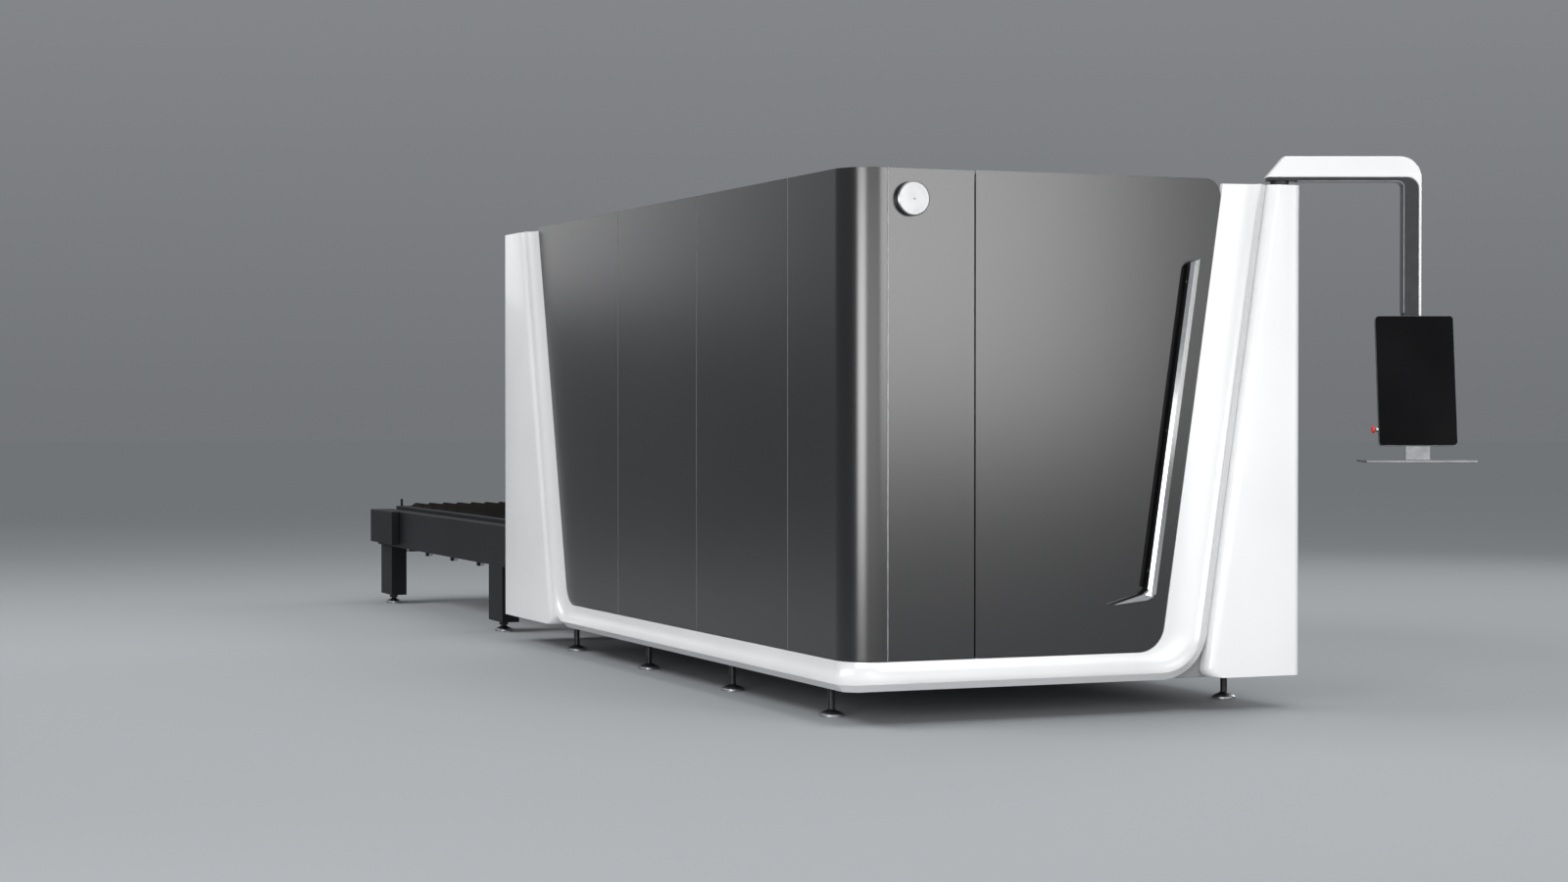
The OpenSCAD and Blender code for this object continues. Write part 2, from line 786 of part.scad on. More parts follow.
module right_panel(k) {
    y0 = right_y0 + k * right_pitch;
    y1 = y0 + right_pitch - seam;
    color("white") placed() difference() {
        block([right_face, y0, ground_gap], [body_w, y1, white_top]);
        block([right_face - 1, y0 + sheet_t, ground_gap + sheet_t],
            [body_w - sheet_t, y1 - sheet_t, white_top - sheet_t]);
        children();
    }
}

module right_panel_1() {
    right_panel(0);
}

module right_panel_2() {
    right_panel(1);
}

module right_panel_3() {
    right_panel(2) exhaust_axis()
        cylinder(h = 4 * panel_depth, r = exhaust_r + 2 * exhaust_t, center = true, $fn = 96);
}

module exhaust_axis() {
    translate([body_w, exhaust_y, exhaust_z]) rotate([0, 90, 0]) children();
}

module exhaust_collar() {
    flange_w = 30;
    color("silver") placed() exhaust_axis() difference() {
        union() {
            cylinder(h = exhaust_l, r = exhaust_r + exhaust_t, $fn = 96);
            cylinder(h = exhaust_t, r = exhaust_r + flange_w, $fn = 96);
        }
        translate([0, 0, -1]) cylinder(h = exhaust_l + 2, r = exhaust_r, $fn = 96);
    }
}

module rear_tray(z0, z1) {
    x0 = face_in + seam;
    x1 = body_w - face_in - seam;
    difference() {
        block([x0, bed_end, z0], [x1, body_l, z1]);
        block([x0 + sheet_t, bed_end - 1, z0 + sheet_t], [x1 - sheet_t, body_l - sheet_t, z1 - sheet_t]);
    }
}

module rear_upper_panel() {
    color("white") placed() rear_tray(slot_z1, white_top);
}

module rear_lower_panel() {
    color("white") placed() rear_tray(ground_gap, slot_z0);
}

// Brush curtain that hangs from the upper edge of the pallet slot
module slot_brush() {
    holder_h = 20;
    brush_t = 6;
    y = bed_end + panel_depth / 2;
    color("#202020") placed() {
        block([track_left, y - 8, slot_z1 - holder_h], [track_right, y + 8, slot_z1]);
        block([track_left, y - brush_t / 2, slot_z1 - brush_l],
            [track_right, y + brush_t / 2, slot_z1 - holder_h]);
    }
}

module roof_panels() {
    x0 = bed_in - roof_seat;
    x1 = bed_right + roof_seat;
    y0 = bed_front - roof_seat;
    pitch = (bed_end - y0) / 3;
    color("white") placed() for (k = [0:2]) {
        ya = y0 + k * pitch;
        yb = ya + pitch - seam;
        difference() {
            block([x0, ya, roof_z], [x1, yb, roof_top]);
            block([x0 + sheet_t, ya + sheet_t, roof_z - 1], [x1 - sheet_t, yb - sheet_t, roof_top - sheet_t]);
        }
    }
}

module scrap_tray() {
    wall = 4;
    tray_h = 90;
    a = [track_left + 60, inner_y0 - 100, ground_gap + base_tie_h];
    b = [track_right - 60, inner_y0 + pallet_l + 100, ground_gap + base_tie_h + tray_h];
    color("gray") placed() difference() {
        block(a, b);
        block(a + [wall, wall, wall], b + [-wall, -wall, 1]);
    }
}

module bed_rails() {
    color("silver") placed() for (x = [(bed_in + track_left) / 2, (bed_right + track_right) / 2])
        block([x - rail_w / 2, gantry_mid - saddle_l / 2 - gantry_travel - rail_over, bed_top],
            [x + rail_w / 2, gantry_mid + saddle_l / 2 + rail_over, rail_top]);
}

module track_rollers() {
    color("silver") placed() for (y = concat(bed_roller_ys, table_roller_ys)) for (z = [lower_z, upper_z]) {
        zc = z - roller_gap - roller_r;
        translate([track_left, y, zc]) rotate([0, 90, 0]) cylinder(h = roller_l, r = roller_r);
        translate([track_right, y, zc]) rotate([0, -90, 0]) cylinder(h = roller_l, r = roller_r);
    }
}

// Exchange table

// Side beams with hanging plates for the lower rollers between the legs
module table_beams() {
    plate_t = 12;
    plate_w = 2 * roller_r;
    plate_z = lower_z - roller_gap - 2 * roller_r;
    color("#22242a") placed() {
        block([bed_in, bed_end, beam_z], [track_left, table_end, beam_top]);
        block([track_right, bed_end, beam_z], [bed_right, table_end, beam_top]);
        for (k = [1:3]) {
            y = table_roller_ys[k] - plate_w / 2;
            block([track_left - plate_t, y, plate_z], [track_left, y + plate_w, beam_z]);
            block([track_right, y, plate_z], [track_right + plate_t, y + plate_w, beam_z]);
        }
    }
}

module table_legs() {
    color("#22242a") placed() for (y = leg_ys) for (x = [bed_in, track_right])
        block([x, y - leg_l / 2, leg_z], [x + bed_t, y + leg_l / 2, beam_z]);
}

module table_ties() {
    tie_w = 60;
    color("#22242a") placed() for (y = leg_ys)
        block([track_left, y - tie_w / 2, beam_z - tie_h], [track_right, y + tie_w / 2, beam_z]);
}

module table_end_boxes() {
    box_up = 20;
    color("#22242a") placed() {
        block([bed_in - end_box_out, table_end - end_box_l, beam_z + box_up], [bed_in, table_end, beam_top]);
        block([bed_right, table_end - end_box_l, beam_z + box_up],
            [bed_right + end_box_out, table_end, beam_top]);
    }
}

module table_end_stop() {
    stop_drop = 40;
    color("#22242a") placed()
        block([track_left, table_end - stop_t, beam_z], [track_right, table_end, beam_top - stop_drop]);
}

// Gearmotor that drives the exchange chains, flanged to the right beam
module exchange_gearmotor() {
    gear_l = 130;
    gear_h = 170;
    gear_w = 140;
    motor_r = 65;
    fin_d = 9;
    fin_pitch = 14;
    fins = 13;
    fan_l = 48;
    box_w = 90;
    box_l = 110;
    box_h = 38;
    y = bed_end + leg_y1 + leg_l / 2 + 150;
    zc = beam_z + beam_h / 2;
    motor_l = (fins + 1) * fin_pitch;
    color("#22242a") placed() translate([bed_right, y, zc]) {
        translate([0, -gear_l / 2, -gear_h / 2]) cube([gear_w, gear_l, gear_h]);
        translate([gear_w / 2, gear_l / 2, 0]) rotate([-90, 0, 0]) {
            cylinder(h = motor_l, r = motor_r - fin_d);
            for (k = [1:fins]) translate([0, 0, k * fin_pitch]) cylinder(h = fin_pitch / 3, r = motor_r);
            translate([0, 0, motor_l]) cylinder(h = fan_l, r = motor_r - 3);
        }
        translate([(gear_w - box_w) / 2, gear_l / 2 + fin_pitch, 0]) cube([box_w, box_l, motor_r + box_h]);
    }
}

// Pallet with its lower face at z and its front end at y

module pallet_rails(y, z) {
    peg_y = pallet_rail_w / 2;
    placed() for (x = [pallet_x0, pallet_x1 - pallet_rail_w]) {
        block([x, y, z], [x + pallet_rail_w, y + pallet_l, z + pallet_rail_h]);
        for (py = [y + peg_y, y + pallet_l - peg_y])
            translate([x + pallet_rail_w / 2, py, z]) cylinder(h = pallet_rail_h + peg_h, r = peg_r);
    }
}

module pallet_ends(y, z) {
    placed() for (ya = [y, y + pallet_l - pallet_rail_w])
        block([slat_x0, ya, z], [slat_x1, ya + pallet_rail_w, z + pallet_rail_h]);
}

// Serrated slat seen from its side, x across and z up from the pallet's lower face
function slat_outline() =
    let (
        w = slat_x1 - slat_x0,
        tip = pallet_rail_h + slat_proud,
        step = w / tooth_count,
        land = step / 8
    )
    concat([[0, slat_foot]],
        [for (k = [0:tooth_count - 1]) each [
            [k * step + (k == 0 ? 0 : land), tip - tooth_d],
            [(k + 0.5) * step - land, tip],
            [(k + 0.5) * step + land, tip],
            [(k + 1) * step - (k == tooth_count - 1 ? 0 : land), tip - tooth_d]
        ]],
        [[w, slat_foot]]);

module pallet_slats(y, z) {
    span = pallet_l - 2 * pallet_rail_w;
    first = (span - (slat_count - 1) * slat_pitch) / 2;
    placed() for (k = [0:slat_count - 1])
        translate([slat_x0, y + pallet_rail_w + first + k * slat_pitch - slat_t / 2, z])
            front_slab(0, slat_t) polygon(slat_outline());
}

module outer_pallet_rails() {
    color("#22242a") pallet_rails(outer_y0, upper_z);
}

module outer_pallet_ends() {
    color("#22242a") pallet_ends(outer_y0, upper_z);
}

module outer_pallet_slats() {
    color("#1a1a1a") pallet_slats(outer_y0, upper_z);
}

module inner_pallet_rails() {
    color("#22242a") pallet_rails(inner_y0, lower_z);
}

module inner_pallet_ends() {
    color("#22242a") pallet_ends(inner_y0, lower_z);
}

module inner_pallet_slats() {
    color("#1a1a1a") pallet_slats(inner_y0, lower_z);
}

// Gantry

module gantry_beam() {
    bevel = 40;
    x0 = bed_in + 10;
    x1 = bed_right - 10;
    color("lightgray") placed() translate([x0, gantry_y, gantry_z]) rotate([90, 0, 90])
        linear_extrude(x1 - x0)
        polygon([[0, 0], [gantry_d - bevel, 0], [gantry_d, bevel], [gantry_d, gantry_h - bevel],
            [gantry_d - bevel, gantry_h], [0, gantry_h]]);
}

// Saddles that hug the bed rails and carry the beam
module gantry_saddles() {
    saddle_w = bed_t - 20;
    cheek = 12;
    mid = gantry_mid;
    color("gray") placed() for (x = [(bed_in + track_left) / 2, (bed_right + track_right) / 2]) difference() {
        block([x - saddle_w / 2, mid - saddle_l / 2, saddle_z - cheek],
            [x + saddle_w / 2, mid + saddle_l / 2, gantry_z]);
        block([x - rail_w / 2 - slide_gap, mid - saddle_l, saddle_z - cheek - 1],
            [x + rail_w / 2 + slide_gap, mid + saddle_l, saddle_z]);
    }
}

// Servomotors with gearheads, standing on the saddles behind the beam
module gantry_motors() {
    motor_w = 70;
    motor_h = 190;
    gear_h = 60;
    y = gantry_rear + motor_w / 2;
    color("#303030") placed() for (x = [(bed_in + track_left) / 2, (bed_right + track_right) / 2])
        translate([x, y, gantry_z]) {
            cylinder(h = gear_h, r = motor_w / 2);
            translate([-motor_w / 2 + 4, -motor_w / 2 + 4, gear_h]) cube([motor_w - 8, motor_w - 8, motor_h]);
        }
}

module beam_rails() {
    color("silver") placed() for (z = [gantry_z + 45, gantry_z + gantry_h - 45])
        block([bed_in + 60, gantry_y - beam_rail_t, z - rail_w / 2],
            [bed_right - 60, gantry_y, z + rail_w / 2]);
}

module cutting_carriage() {
    r = 20;
    x0 = nozzle_x - carriage_w / 2;
    color("#2c2d30") placed() {
        difference() {
            translate([x0, carriage_y, carriage_z]) linear_extrude(carriage_h) {
                translate([r, 0]) square([carriage_w - 2 * r, carriage_d]);
                translate([0, r]) square([carriage_w, carriage_d - r]);
                for (x = [r, carriage_w - r]) translate([x, r]) circle(r);
            }
            // Guide slot for the head's slide
            block([nozzle_x - head_w / 2 + 18, carriage_y - 1, carriage_z - 1],
                [nozzle_x + head_w / 2 - 18, carriage_y + 20, carriage_z + carriage_h - 30]);
        }
        // Drive motor of the head's slide
        translate([nozzle_x - 32, carriage_y + 25, carriage_z + carriage_h]) cube([64, 64, 110]);
    }
}

// Cutting head: slide, body, collar and nozzle on one upright axis
module cutting_head() {
    slide_w = head_w - 36 - 2 * slide_gap;
    color("silver") placed() {
        block([nozzle_x - head_w / 2, head_y, head_z],
            [nozzle_x + head_w / 2, head_y + head_w, head_z + head_h]);
        block([nozzle_x - slide_w / 2, head_y + head_w, head_z + 40],
            [nozzle_x + slide_w / 2, head_y + head_w + slide_gap + 18, head_z + head_h - 20]);
        translate([nozzle_x, head_y + head_w / 2, nozzle_z]) rotate_extrude()
            polygon([[0, 0], [3, 0], [9, 16], [14, 18], [14, 34], [22, 46], [22, nozzle_l],
                [head_w / 2 - 8, nozzle_l], [head_w / 2 - 8, nozzle_l + collar_l], [0, nozzle_l + collar_l]]);
        translate([nozzle_x, head_y + head_w / 2, head_z + head_h]) cylinder(h = 60, r = 18);
    }
}

// Door

// Round polished disc on the fixed front panel
module front_disc() {
    edge = 5;
    x = front_seam_1 + disc_r + 33;
    color("silver") placed() translate([x, recess, disc_z]) rotate([90, 0, 0]) rotate_extrude($fn = 96)
        polygon([[0, 0], [disc_r, 0], [disc_r, disc_t - edge], [disc_r - edge, disc_t - 1],
            [disc_r - edge - 3, disc_t - 1], [disc_r * 0.6, disc_t - 0.3], [0, disc_t]]);
}

// Lower pin on the cradle's ledge, upper pin under a bracket on the hinge post
module door_pivots() {
    gap = 1;
    plate_t = 10;
    plate_in = 6;
    plate_out = 14;
    z = door_flange_z + gap;
    color("silver") placed() {
        translate([pivot_x, pivot_y, cove_z]) cylinder(h = seam + pivot_block - 2, r = pivot_r);
        translate([pivot_x, pivot_y, cove_z]) cylinder(h = seam - gap, r = pivot_r + 3);
        translate([pivot_x, pivot_y, door_flange_z - pivot_block + 2]) cylinder(h = pivot_block, r = pivot_r);
        translate([pivot_x, pivot_y, z]) cylinder(h = plate_t, r = plate_in);
        block([pivot_x - plate_in, pivot_y, z], [pivot_x + plate_out, face_in + pivot_seam, z + plate_t]);
        block([pivot_x - plate_in, face_in + pivot_seam, roof_z],
            [pivot_x + plate_out, bed_front - roof_seat, z + plate_t]);
    }
}

door_edge_ref = front_ref - seam / cos(front_lean);

module door_slab(y0, y1, z1, in) {
    front_slab(y0, y1) polygon(leaning_outline(door_x0, panel_z, z1, door_edge_ref, front_lean,
        turn_r_in - seam, door_top_r, in));
}

// Folded door skin with its flanges; blocks in the flanges take the pivot pins
module door_panel() {
    block_w = 2 * pivot_in + 8;
    color("#202124") placed() difference() {
        union() {
            door_slab(recess, recess + sheet_t, body_top, 0);
            door_slab(recess, face_in, door_flange_z, 0);
        }
        difference() {
            door_slab(recess + sheet_t, face_in + 1, door_flange_z, sheet_t);
            for (z = [panel_z, door_flange_z - pivot_block])
                block([door_x0, recess, z], [door_x0 + block_w, face_in + 2, z + pivot_block]);
        }
        for (z = [panel_z - 1, door_flange_z - pivot_block - 1])
            translate([pivot_x, pivot_y, z]) cylinder(h = pivot_block + 2, r = pivot_r + pivot_fit);
    }
}

// Handle: leaning ridged bar with a slanted top, a pointed blade at its foot and stand-offs behind
function handle_u(z) = door_edge_ref - handle_in + (z - post_ref_z) * tan(front_lean);

module door_handle() {
    top = handle_z0 + handle_l;
    y0 = recess - handle_gap - handle_t;
    post_r = 12;
    post_in = handle_w / 2;
    ridge_u = 0.62 * handle_w;
    flank = 0.35 * handle_t;
    blade_h = 46;
    top_slant = 30;
    color("silver") placed() {
        intersection() {
            translate([handle_u(0), 0, 0])
                multmatrix([[1, 0, tan(front_lean), 0], [0, 1, 0, 0], [0, 0, 1, 0]])
                linear_extrude(2 * top) polygon([[0, y0 + handle_t], [-handle_w, y0 + handle_t],
                    [-handle_w, y0 + handle_t - flank], [-ridge_u, y0], [0, y0 + flank]]);
            front_slab(0, recess) polygon([
                [handle_u(handle_z0) - handle_w, handle_z0 + blade_h / 2],
                [handle_u(handle_z0) + handle_w, handle_z0 + blade_h / 2],
                [handle_u(top) + handle_w, top + handle_w * tan(top_slant)],
                [handle_u(top) - handle_w, top]
            ]);
        }
        front_slab(y0 + flank, y0 + handle_t) polygon([
            [handle_u(handle_z0 + blade_h), handle_z0 + blade_h],
            [handle_u(handle_z0 + blade_h) - handle_w, handle_z0 + blade_h],
            [handle_u(handle_z0) - 1.5 * handle_w, handle_z0 + blade_h / 2],
            [handle_u(handle_z0) - blade_l, handle_z0 - blade_h / 3],
            [handle_u(handle_z0) - handle_w, handle_z0],
            [handle_u(handle_z0) - handle_w / 4, handle_z0 + blade_h / 4]
        ]);
        for (z = [handle_z0 + 120, handle_z0 + handle_l / 2, top - 80])
            translate([handle_u(z) - post_in, recess, z]) rotate([90, 0, 0])
                cylinder(h = handle_gap, r = post_r);
    }
}

// Console

// Swivel base on the front end cover, with the arm's pivot pin
module arm_base() {
    color("#202124") at_arm() translate([0, 0, white_top]) {
        cylinder(h = arm_base_h - slide_gap, r = arm_base_r);
        cylinder(h = arm_base_h + core_t - 2, r = stud_r);
    }
}

// Profile of the arm in its own upright plane, u along the arm from the pivot, z up
bend_u = arm_reach + bar_w / 2 + strip_t - bend_r;
arm_top = arm_level + arm_h;

module arm_shell() {
    outer_u = arm_reach + bar_w / 2 + strip_t;
    inner_u = outer_u - strip_t;
    inner_r = bend_r - arm_h / 2;
    strip_z = display_z + display_h * cos(display_tilt) - 20;
    color("white") at_arm() front_slab(-arm_d / 2, arm_d / 2) polygon(concat(
        [[-arm_tail, arm_level], [inner_u - inner_r, arm_level]],
        arc([inner_u - inner_r, arm_level - inner_r], inner_r, 90, 0),
        [[inner_u, strip_z], [outer_u, strip_z]],
        arc([bend_u, arm_top - bend_r], bend_r, 0, 90),
        [[arm_slope - arm_tail, arm_top]]
    ));
}

// Black tube of the arm: a flat run under the shell, a bend and the upright bar
module arm_core() {
    inner_u = arm_reach + bar_w / 2;
    inner_r = bend_r - arm_h / 2;
    fillet_r = 30;
    u0 = arm_reach - bar_w / 2;
    color("#161719") at_arm() difference() {
        front_slab(-core_d / 2, core_d / 2) polygon(concat(
            [[-arm_tail + 8, arm_level - core_t], [u0 - fillet_r, arm_level - core_t]],
            arc([u0 - fillet_r, arm_level - core_t - fillet_r], fillet_r, 90, 0),
            [[u0, bar_z], [inner_u, bar_z], [inner_u, arm_level - inner_r]],
            arc([inner_u - inner_r, arm_level - inner_r], inner_r, 0, 90),
            [[-arm_tail + 8, arm_level]]
        ));
        translate([0, 0, arm_level - core_t - 1]) cylinder(h = core_t + 2, r = stud_r + pivot_fit);
    }
}

// Display frame: origin at the middle of its lower front edge, tilted back
module at_display() {
    at_bar() translate([0, -display_front, display_z]) rotate([-display_tilt, 0, 0]) children();
}

module display_plate(y0, y1, in) {
    r = display_r - in;
    front_slab(y0, y1) {
        translate([-display_w / 2 + in, display_r]) square([display_w - 2 * in, display_h - 2 * display_r]);
        translate([-display_w / 2 + display_r, in]) square([display_w - 2 * display_r, display_h - 2 * in]);
        for (x = [-1, 1]) for (z = [display_r, display_h - display_r])
            translate([x * (display_w / 2 - display_r), z]) circle(r);
    }
}

// Housing behind the glass, with the neck that turns on the upright bar
module console_display() {
    neck_w = 90;
    hub_z = bar_z - hub_h;
    back_w = 220;
    back_d = 30;
    back_z = 24;
    back_h = 130;
    color("#1c1d20") {
        at_display() display_plate(glass_t, display_t, 0);
        at_display() translate([-back_w / 2, display_t - 1, back_z]) cube([back_w, back_d + 1, back_h]);
        at_bar() {
            translate([0, 0, hub_z]) cylinder(h = hub_h - slide_gap, r = hub_r);
            intersection() {
                translate([-neck_w / 2, -display_front, hub_z])
                    cube([neck_w, display_front - hub_r / 4, hub_h - slide_gap]);
                translate([0, -display_front, display_z]) rotate([-display_tilt, 0, 0])
                    translate([-display_w, display_t, 0]) cube([2 * display_w, display_front, display_h]);
            }
        }
    }
}

module display_glass() {
    color("black") at_display() display_plate(0, glass_t, 1);
}

// Shelf and its upright bracket, folded from one plate
module console_shelf() {
    y_back = -display_front + display_t * cos(display_tilt);
    color("silver") {
        at_bar() translate([-shelf_w / 2, -shelf_front, shelf_z]) cube([shelf_w, shelf_d, shelf_t]);
        difference() {
            at_bar() translate([-bracket_w / 2, y_back - shelf_t, shelf_z])
                cube([bracket_w, shelf_t, display_z - shelf_z]);
            at_display() translate([-display_w / 2, 0, 0]) cube([display_w, 2 * display_t, display_h]);
        }
    }
}

stop_axis_y = (glass_t + display_t) / 2;
stop_base_l = 12;
stop_reach = 29;

module at_stop() {
    at_display() translate([-display_w / 2, stop_axis_y, stop_up]) rotate([0, -90, 0]) children();
}

module stop_body() {
    color("#d0d0d0") at_stop() difference() {
        cylinder(h = stop_base_l, r = stop_r * 0.62);
        translate([0, 0, 2]) cylinder(h = stop_base_l, r = stop_r * 0.34 + pivot_fit);
    }
}

module stop_button() {
    color("red") at_stop() rotate_extrude()
        polygon([[0, 2 + stop_travel], [stop_r * 0.34, 2 + stop_travel],
            [stop_r * 0.34, stop_base_l + stop_travel],
            [stop_r, stop_base_l + stop_travel], [stop_r, stop_reach - 5], [stop_r - 2, stop_reach - 2],
            [stop_r - 6, stop_reach], [0, stop_reach]]);
}

levelling_feet();
table_feet();
bed_beams();
sills();
base_cross_members();
uprights();
front_uprights();
roof_rails();
roof_cross_members();
front_cradle();
side_cradle();
corner_panel();
front_panel();
side_panel_1();
side_panel_2();
side_panel_3();
front_end_cover();
rear_end_cover();
rear_corner_panel();
right_panel_1();
right_panel_2();
right_panel_3();
rear_upper_panel();
rear_lower_panel();
slot_brush();
roof_panels();
exhaust_collar();
scrap_tray();
bed_rails();
track_rollers();
table_beams();
table_legs();
table_ties();
table_end_boxes();
table_end_stop();
exchange_gearmotor();
front_disc();
door_pivots();
door_panel();
door_handle();
outer_pallet_rails();
outer_pallet_ends();
outer_pallet_slats();
inner_pallet_rails();
inner_pallet_ends();
inner_pallet_slats();
gantry_beam();
gantry_saddles();
gantry_motors();
beam_rails();
cutting_carriage();
cutting_head();
arm_base();
arm_core();
arm_shell();
console_display();
display_glass();
console_shelf();
stop_body();
stop_button();
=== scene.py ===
import json
import math

import bmesh
import bpy
from mathutils import Matrix, Vector


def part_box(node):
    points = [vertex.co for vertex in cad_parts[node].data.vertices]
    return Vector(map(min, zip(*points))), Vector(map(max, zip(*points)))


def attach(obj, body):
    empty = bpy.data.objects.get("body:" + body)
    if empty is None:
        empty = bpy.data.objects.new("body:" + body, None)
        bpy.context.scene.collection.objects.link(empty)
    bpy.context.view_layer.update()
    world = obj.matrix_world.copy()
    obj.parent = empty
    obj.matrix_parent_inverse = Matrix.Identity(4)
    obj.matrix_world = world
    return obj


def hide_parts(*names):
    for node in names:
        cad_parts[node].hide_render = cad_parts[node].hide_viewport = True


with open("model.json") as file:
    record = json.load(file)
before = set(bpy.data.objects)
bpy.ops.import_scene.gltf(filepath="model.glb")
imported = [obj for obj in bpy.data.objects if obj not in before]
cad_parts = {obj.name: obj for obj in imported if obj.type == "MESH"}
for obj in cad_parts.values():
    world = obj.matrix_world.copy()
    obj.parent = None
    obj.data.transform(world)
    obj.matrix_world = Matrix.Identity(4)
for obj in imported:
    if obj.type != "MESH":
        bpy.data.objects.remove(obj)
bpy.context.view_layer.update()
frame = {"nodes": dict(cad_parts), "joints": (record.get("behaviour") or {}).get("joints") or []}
nodes = frame["nodes"]
joints = {j["name"]: j for j in frame["joints"]}
scene = bpy.context.scene
scene.view_settings.view_transform = "Standard"
print("frame loaded:", len(nodes), "nodes")

# the machine's own corner: crisp lips of the two cradles, floor at zero
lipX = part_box("side_cradle")[0].x
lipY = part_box("front_cradle")[0].y


def onMachine(x, y, z):  # millimetres from the lips and the floor
    return Vector((lipX + x / 1000, lipY + y / 1000, z / 1000))


# camera and stage

cameraSettings = {
    "lens": 64.31, "sensor": 36, "clipEnd": 200,
    "place": (-4437.5, -10173.9, 1287.1), "turn": -22.3504, "tilt": 89.289,
}


def makeCamera(s):
    data = bpy.data.cameras.new("camera")
    data.lens = s["lens"]
    data.sensor_width = s["sensor"]
    data.clip_end = s["clipEnd"]
    camera = bpy.data.objects.new("camera", data)
    camera.location = onMachine(*s["place"])
    camera.rotation_euler = (math.radians(s["tilt"]), 0, math.radians(s["turn"]))
    scene.collection.objects.link(camera)
    scene.camera = camera


stageSettings = {
    "floorColour": (0.4, 0.415, 0.43, 1), "floorRadius": 90, "floorSides": 96,
    "floorRough": 0.85, "floorSpecular": 0.1,
    "horizon": (0.17, 0.178, 0.19, 1), "zenith": (0.42, 0.43, 0.44, 1), "zenithFrom": 0.6,
    "skyStrength": 1.0,
    "spread": 110,  # degrees, as with a grid on a softbox
    # name: place, aim, width, height, watts
    "cards": {
        "leftCard": ((-7.7, -9.9, 1.65), (-1.3, -3.7, 1.3), 4.2, 3.0, 148),
        "frontCard": ((2.6, -12.6, 2.6), (-0.4, -3.7, 1.6), 4.0, 3.2, 95),
        "cornerCard": ((-3.4, -15.6, 1.8), (-1.0, -3.7, 1.3), 9.0, 3.0, 92),
        "highCard": ((0.0, -10.0, 9.0), (-0.2, -3.0, 1.0), 7.0, 4.0, 100),
        "handleCard": ((8.6, -12.2, 2.4), (0.1, -3.8, 1.2), 3.0, 4.0, 33),
        "sideCard": ((-10.5, 2.0, 9.0), (-1.3, 0.2, 1.0), 10.0, 4.0, 330),
        "rearCard": ((-6.3, 19.0, 4.4), (-1.3, -0.5, 1.5), 4.6, 3.6, 24),
        "rightCard": ((11.0, 3.5, 5.5), (0.4, 0.0, 1.2), 6.0, 5.0, 125),
        "topCard": ((0.4, -1.0, 9.0), (0.2, -0.4, 0.0), 8.0, 10.0, 68),
    },
}


def makeFloor(s):
    mesh = bpy.data.meshes.new("floor")
    bm = bmesh.new()
    bmesh.ops.create_circle(bm, cap_ends=True, segments=s["floorSides"], radius=s["floorRadius"])
    bm.to_mesh(mesh)
    bm.free()
    floor = bpy.data.objects.new("floor", mesh)
    scene.collection.objects.link(floor)
    mat = bpy.data.materials.new("floorPaint")
    mat.use_nodes = True
    surface = mat.node_tree.nodes["Principled BSDF"]
    surface.inputs["Base Color"].default_value = s["floorColour"]
    surface.inputs["Roughness"].default_value = s["floorRough"]
    surface.inputs["Specular IOR Level"].default_value = s["floorSpecular"]
    mesh.materials.append(mat)


def makeSky(s):  # darker at the horizon than overhead
    world = bpy.data.worlds.new("studio")
    world.use_nodes = True
    scene.world = world
    tree = world.node_tree
    sky = tree.nodes["Background"]
    sky.inputs["Strength"].default_value = s["skyStrength"]
    ramp = tree.nodes.new("ShaderNodeValToRGB")
    ramp.color_ramp.elements[0].color = s["horizon"]
    ramp.color_ramp.elements[1].color = s["zenith"]
    ramp.color_ramp.elements[1].position = s["zenithFrom"]
    split = tree.nodes.new("ShaderNodeSeparateXYZ")
    coords = tree.nodes.new("ShaderNodeTexCoord")
    tree.links.new(coords.outputs["Generated"], split.inputs["Vector"])
    tree.links.new(split.outputs["Z"], ramp.inputs["Fac"])
    tree.links.new(ramp.outputs["Color"], sky.inputs["Color"])


def makeCards(s):
    for name, (place, aim, width, height, watts) in s["cards"].items():
        lamp = bpy.data.lights.new(name, "AREA")
        lamp.shape = "RECTANGLE"
        lamp.size, lamp.size_y = width, height
        lamp.energy = watts
        lamp.spread = math.radians(s["spread"])
        card = bpy.data.objects.new(name, lamp)
        card.location = place
        card.visible_camera = False
        card.rotation_euler = (Vector(aim) - Vector(place)).to_track_quat("-Z", "Y").to_euler()
        scene.collection.objects.link(card)


makeCamera(cameraSettings)
makeFloor(stageSettings)
makeSky(stageSettings)
makeCards(stageSettings)
print("camera and stage ready")


# finishes: cloudy colour, grain in the roughness, fine bump
# a zone is a band of heights with its own colour and metal: from, to, colour, metal

finishCommon = {
    "cloudDetail": 3, "cloudStops": (0.35, 0.65),
    "grainDetail": 2, "grainRange": (0.3, 0.7),
    "bumpHeight": 0.0004, "coatRough": 0.08,
}


def slatFinish(name):  # scorched along the teeth's tips
    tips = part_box(name)[1].z - 0.009
    above = 9  # metres, over everything
    return {"colours": [(0.016, 0.0155, 0.015), (0.045, 0.041, 0.038)],
            "cloud": 25, "rough": (0.45, 0.7), "grain": 1100, "bump": 0.3, "metal": 0.7,
            "zones": [(tips, above, (0.034, 0.031, 0.028), 0.9)]}


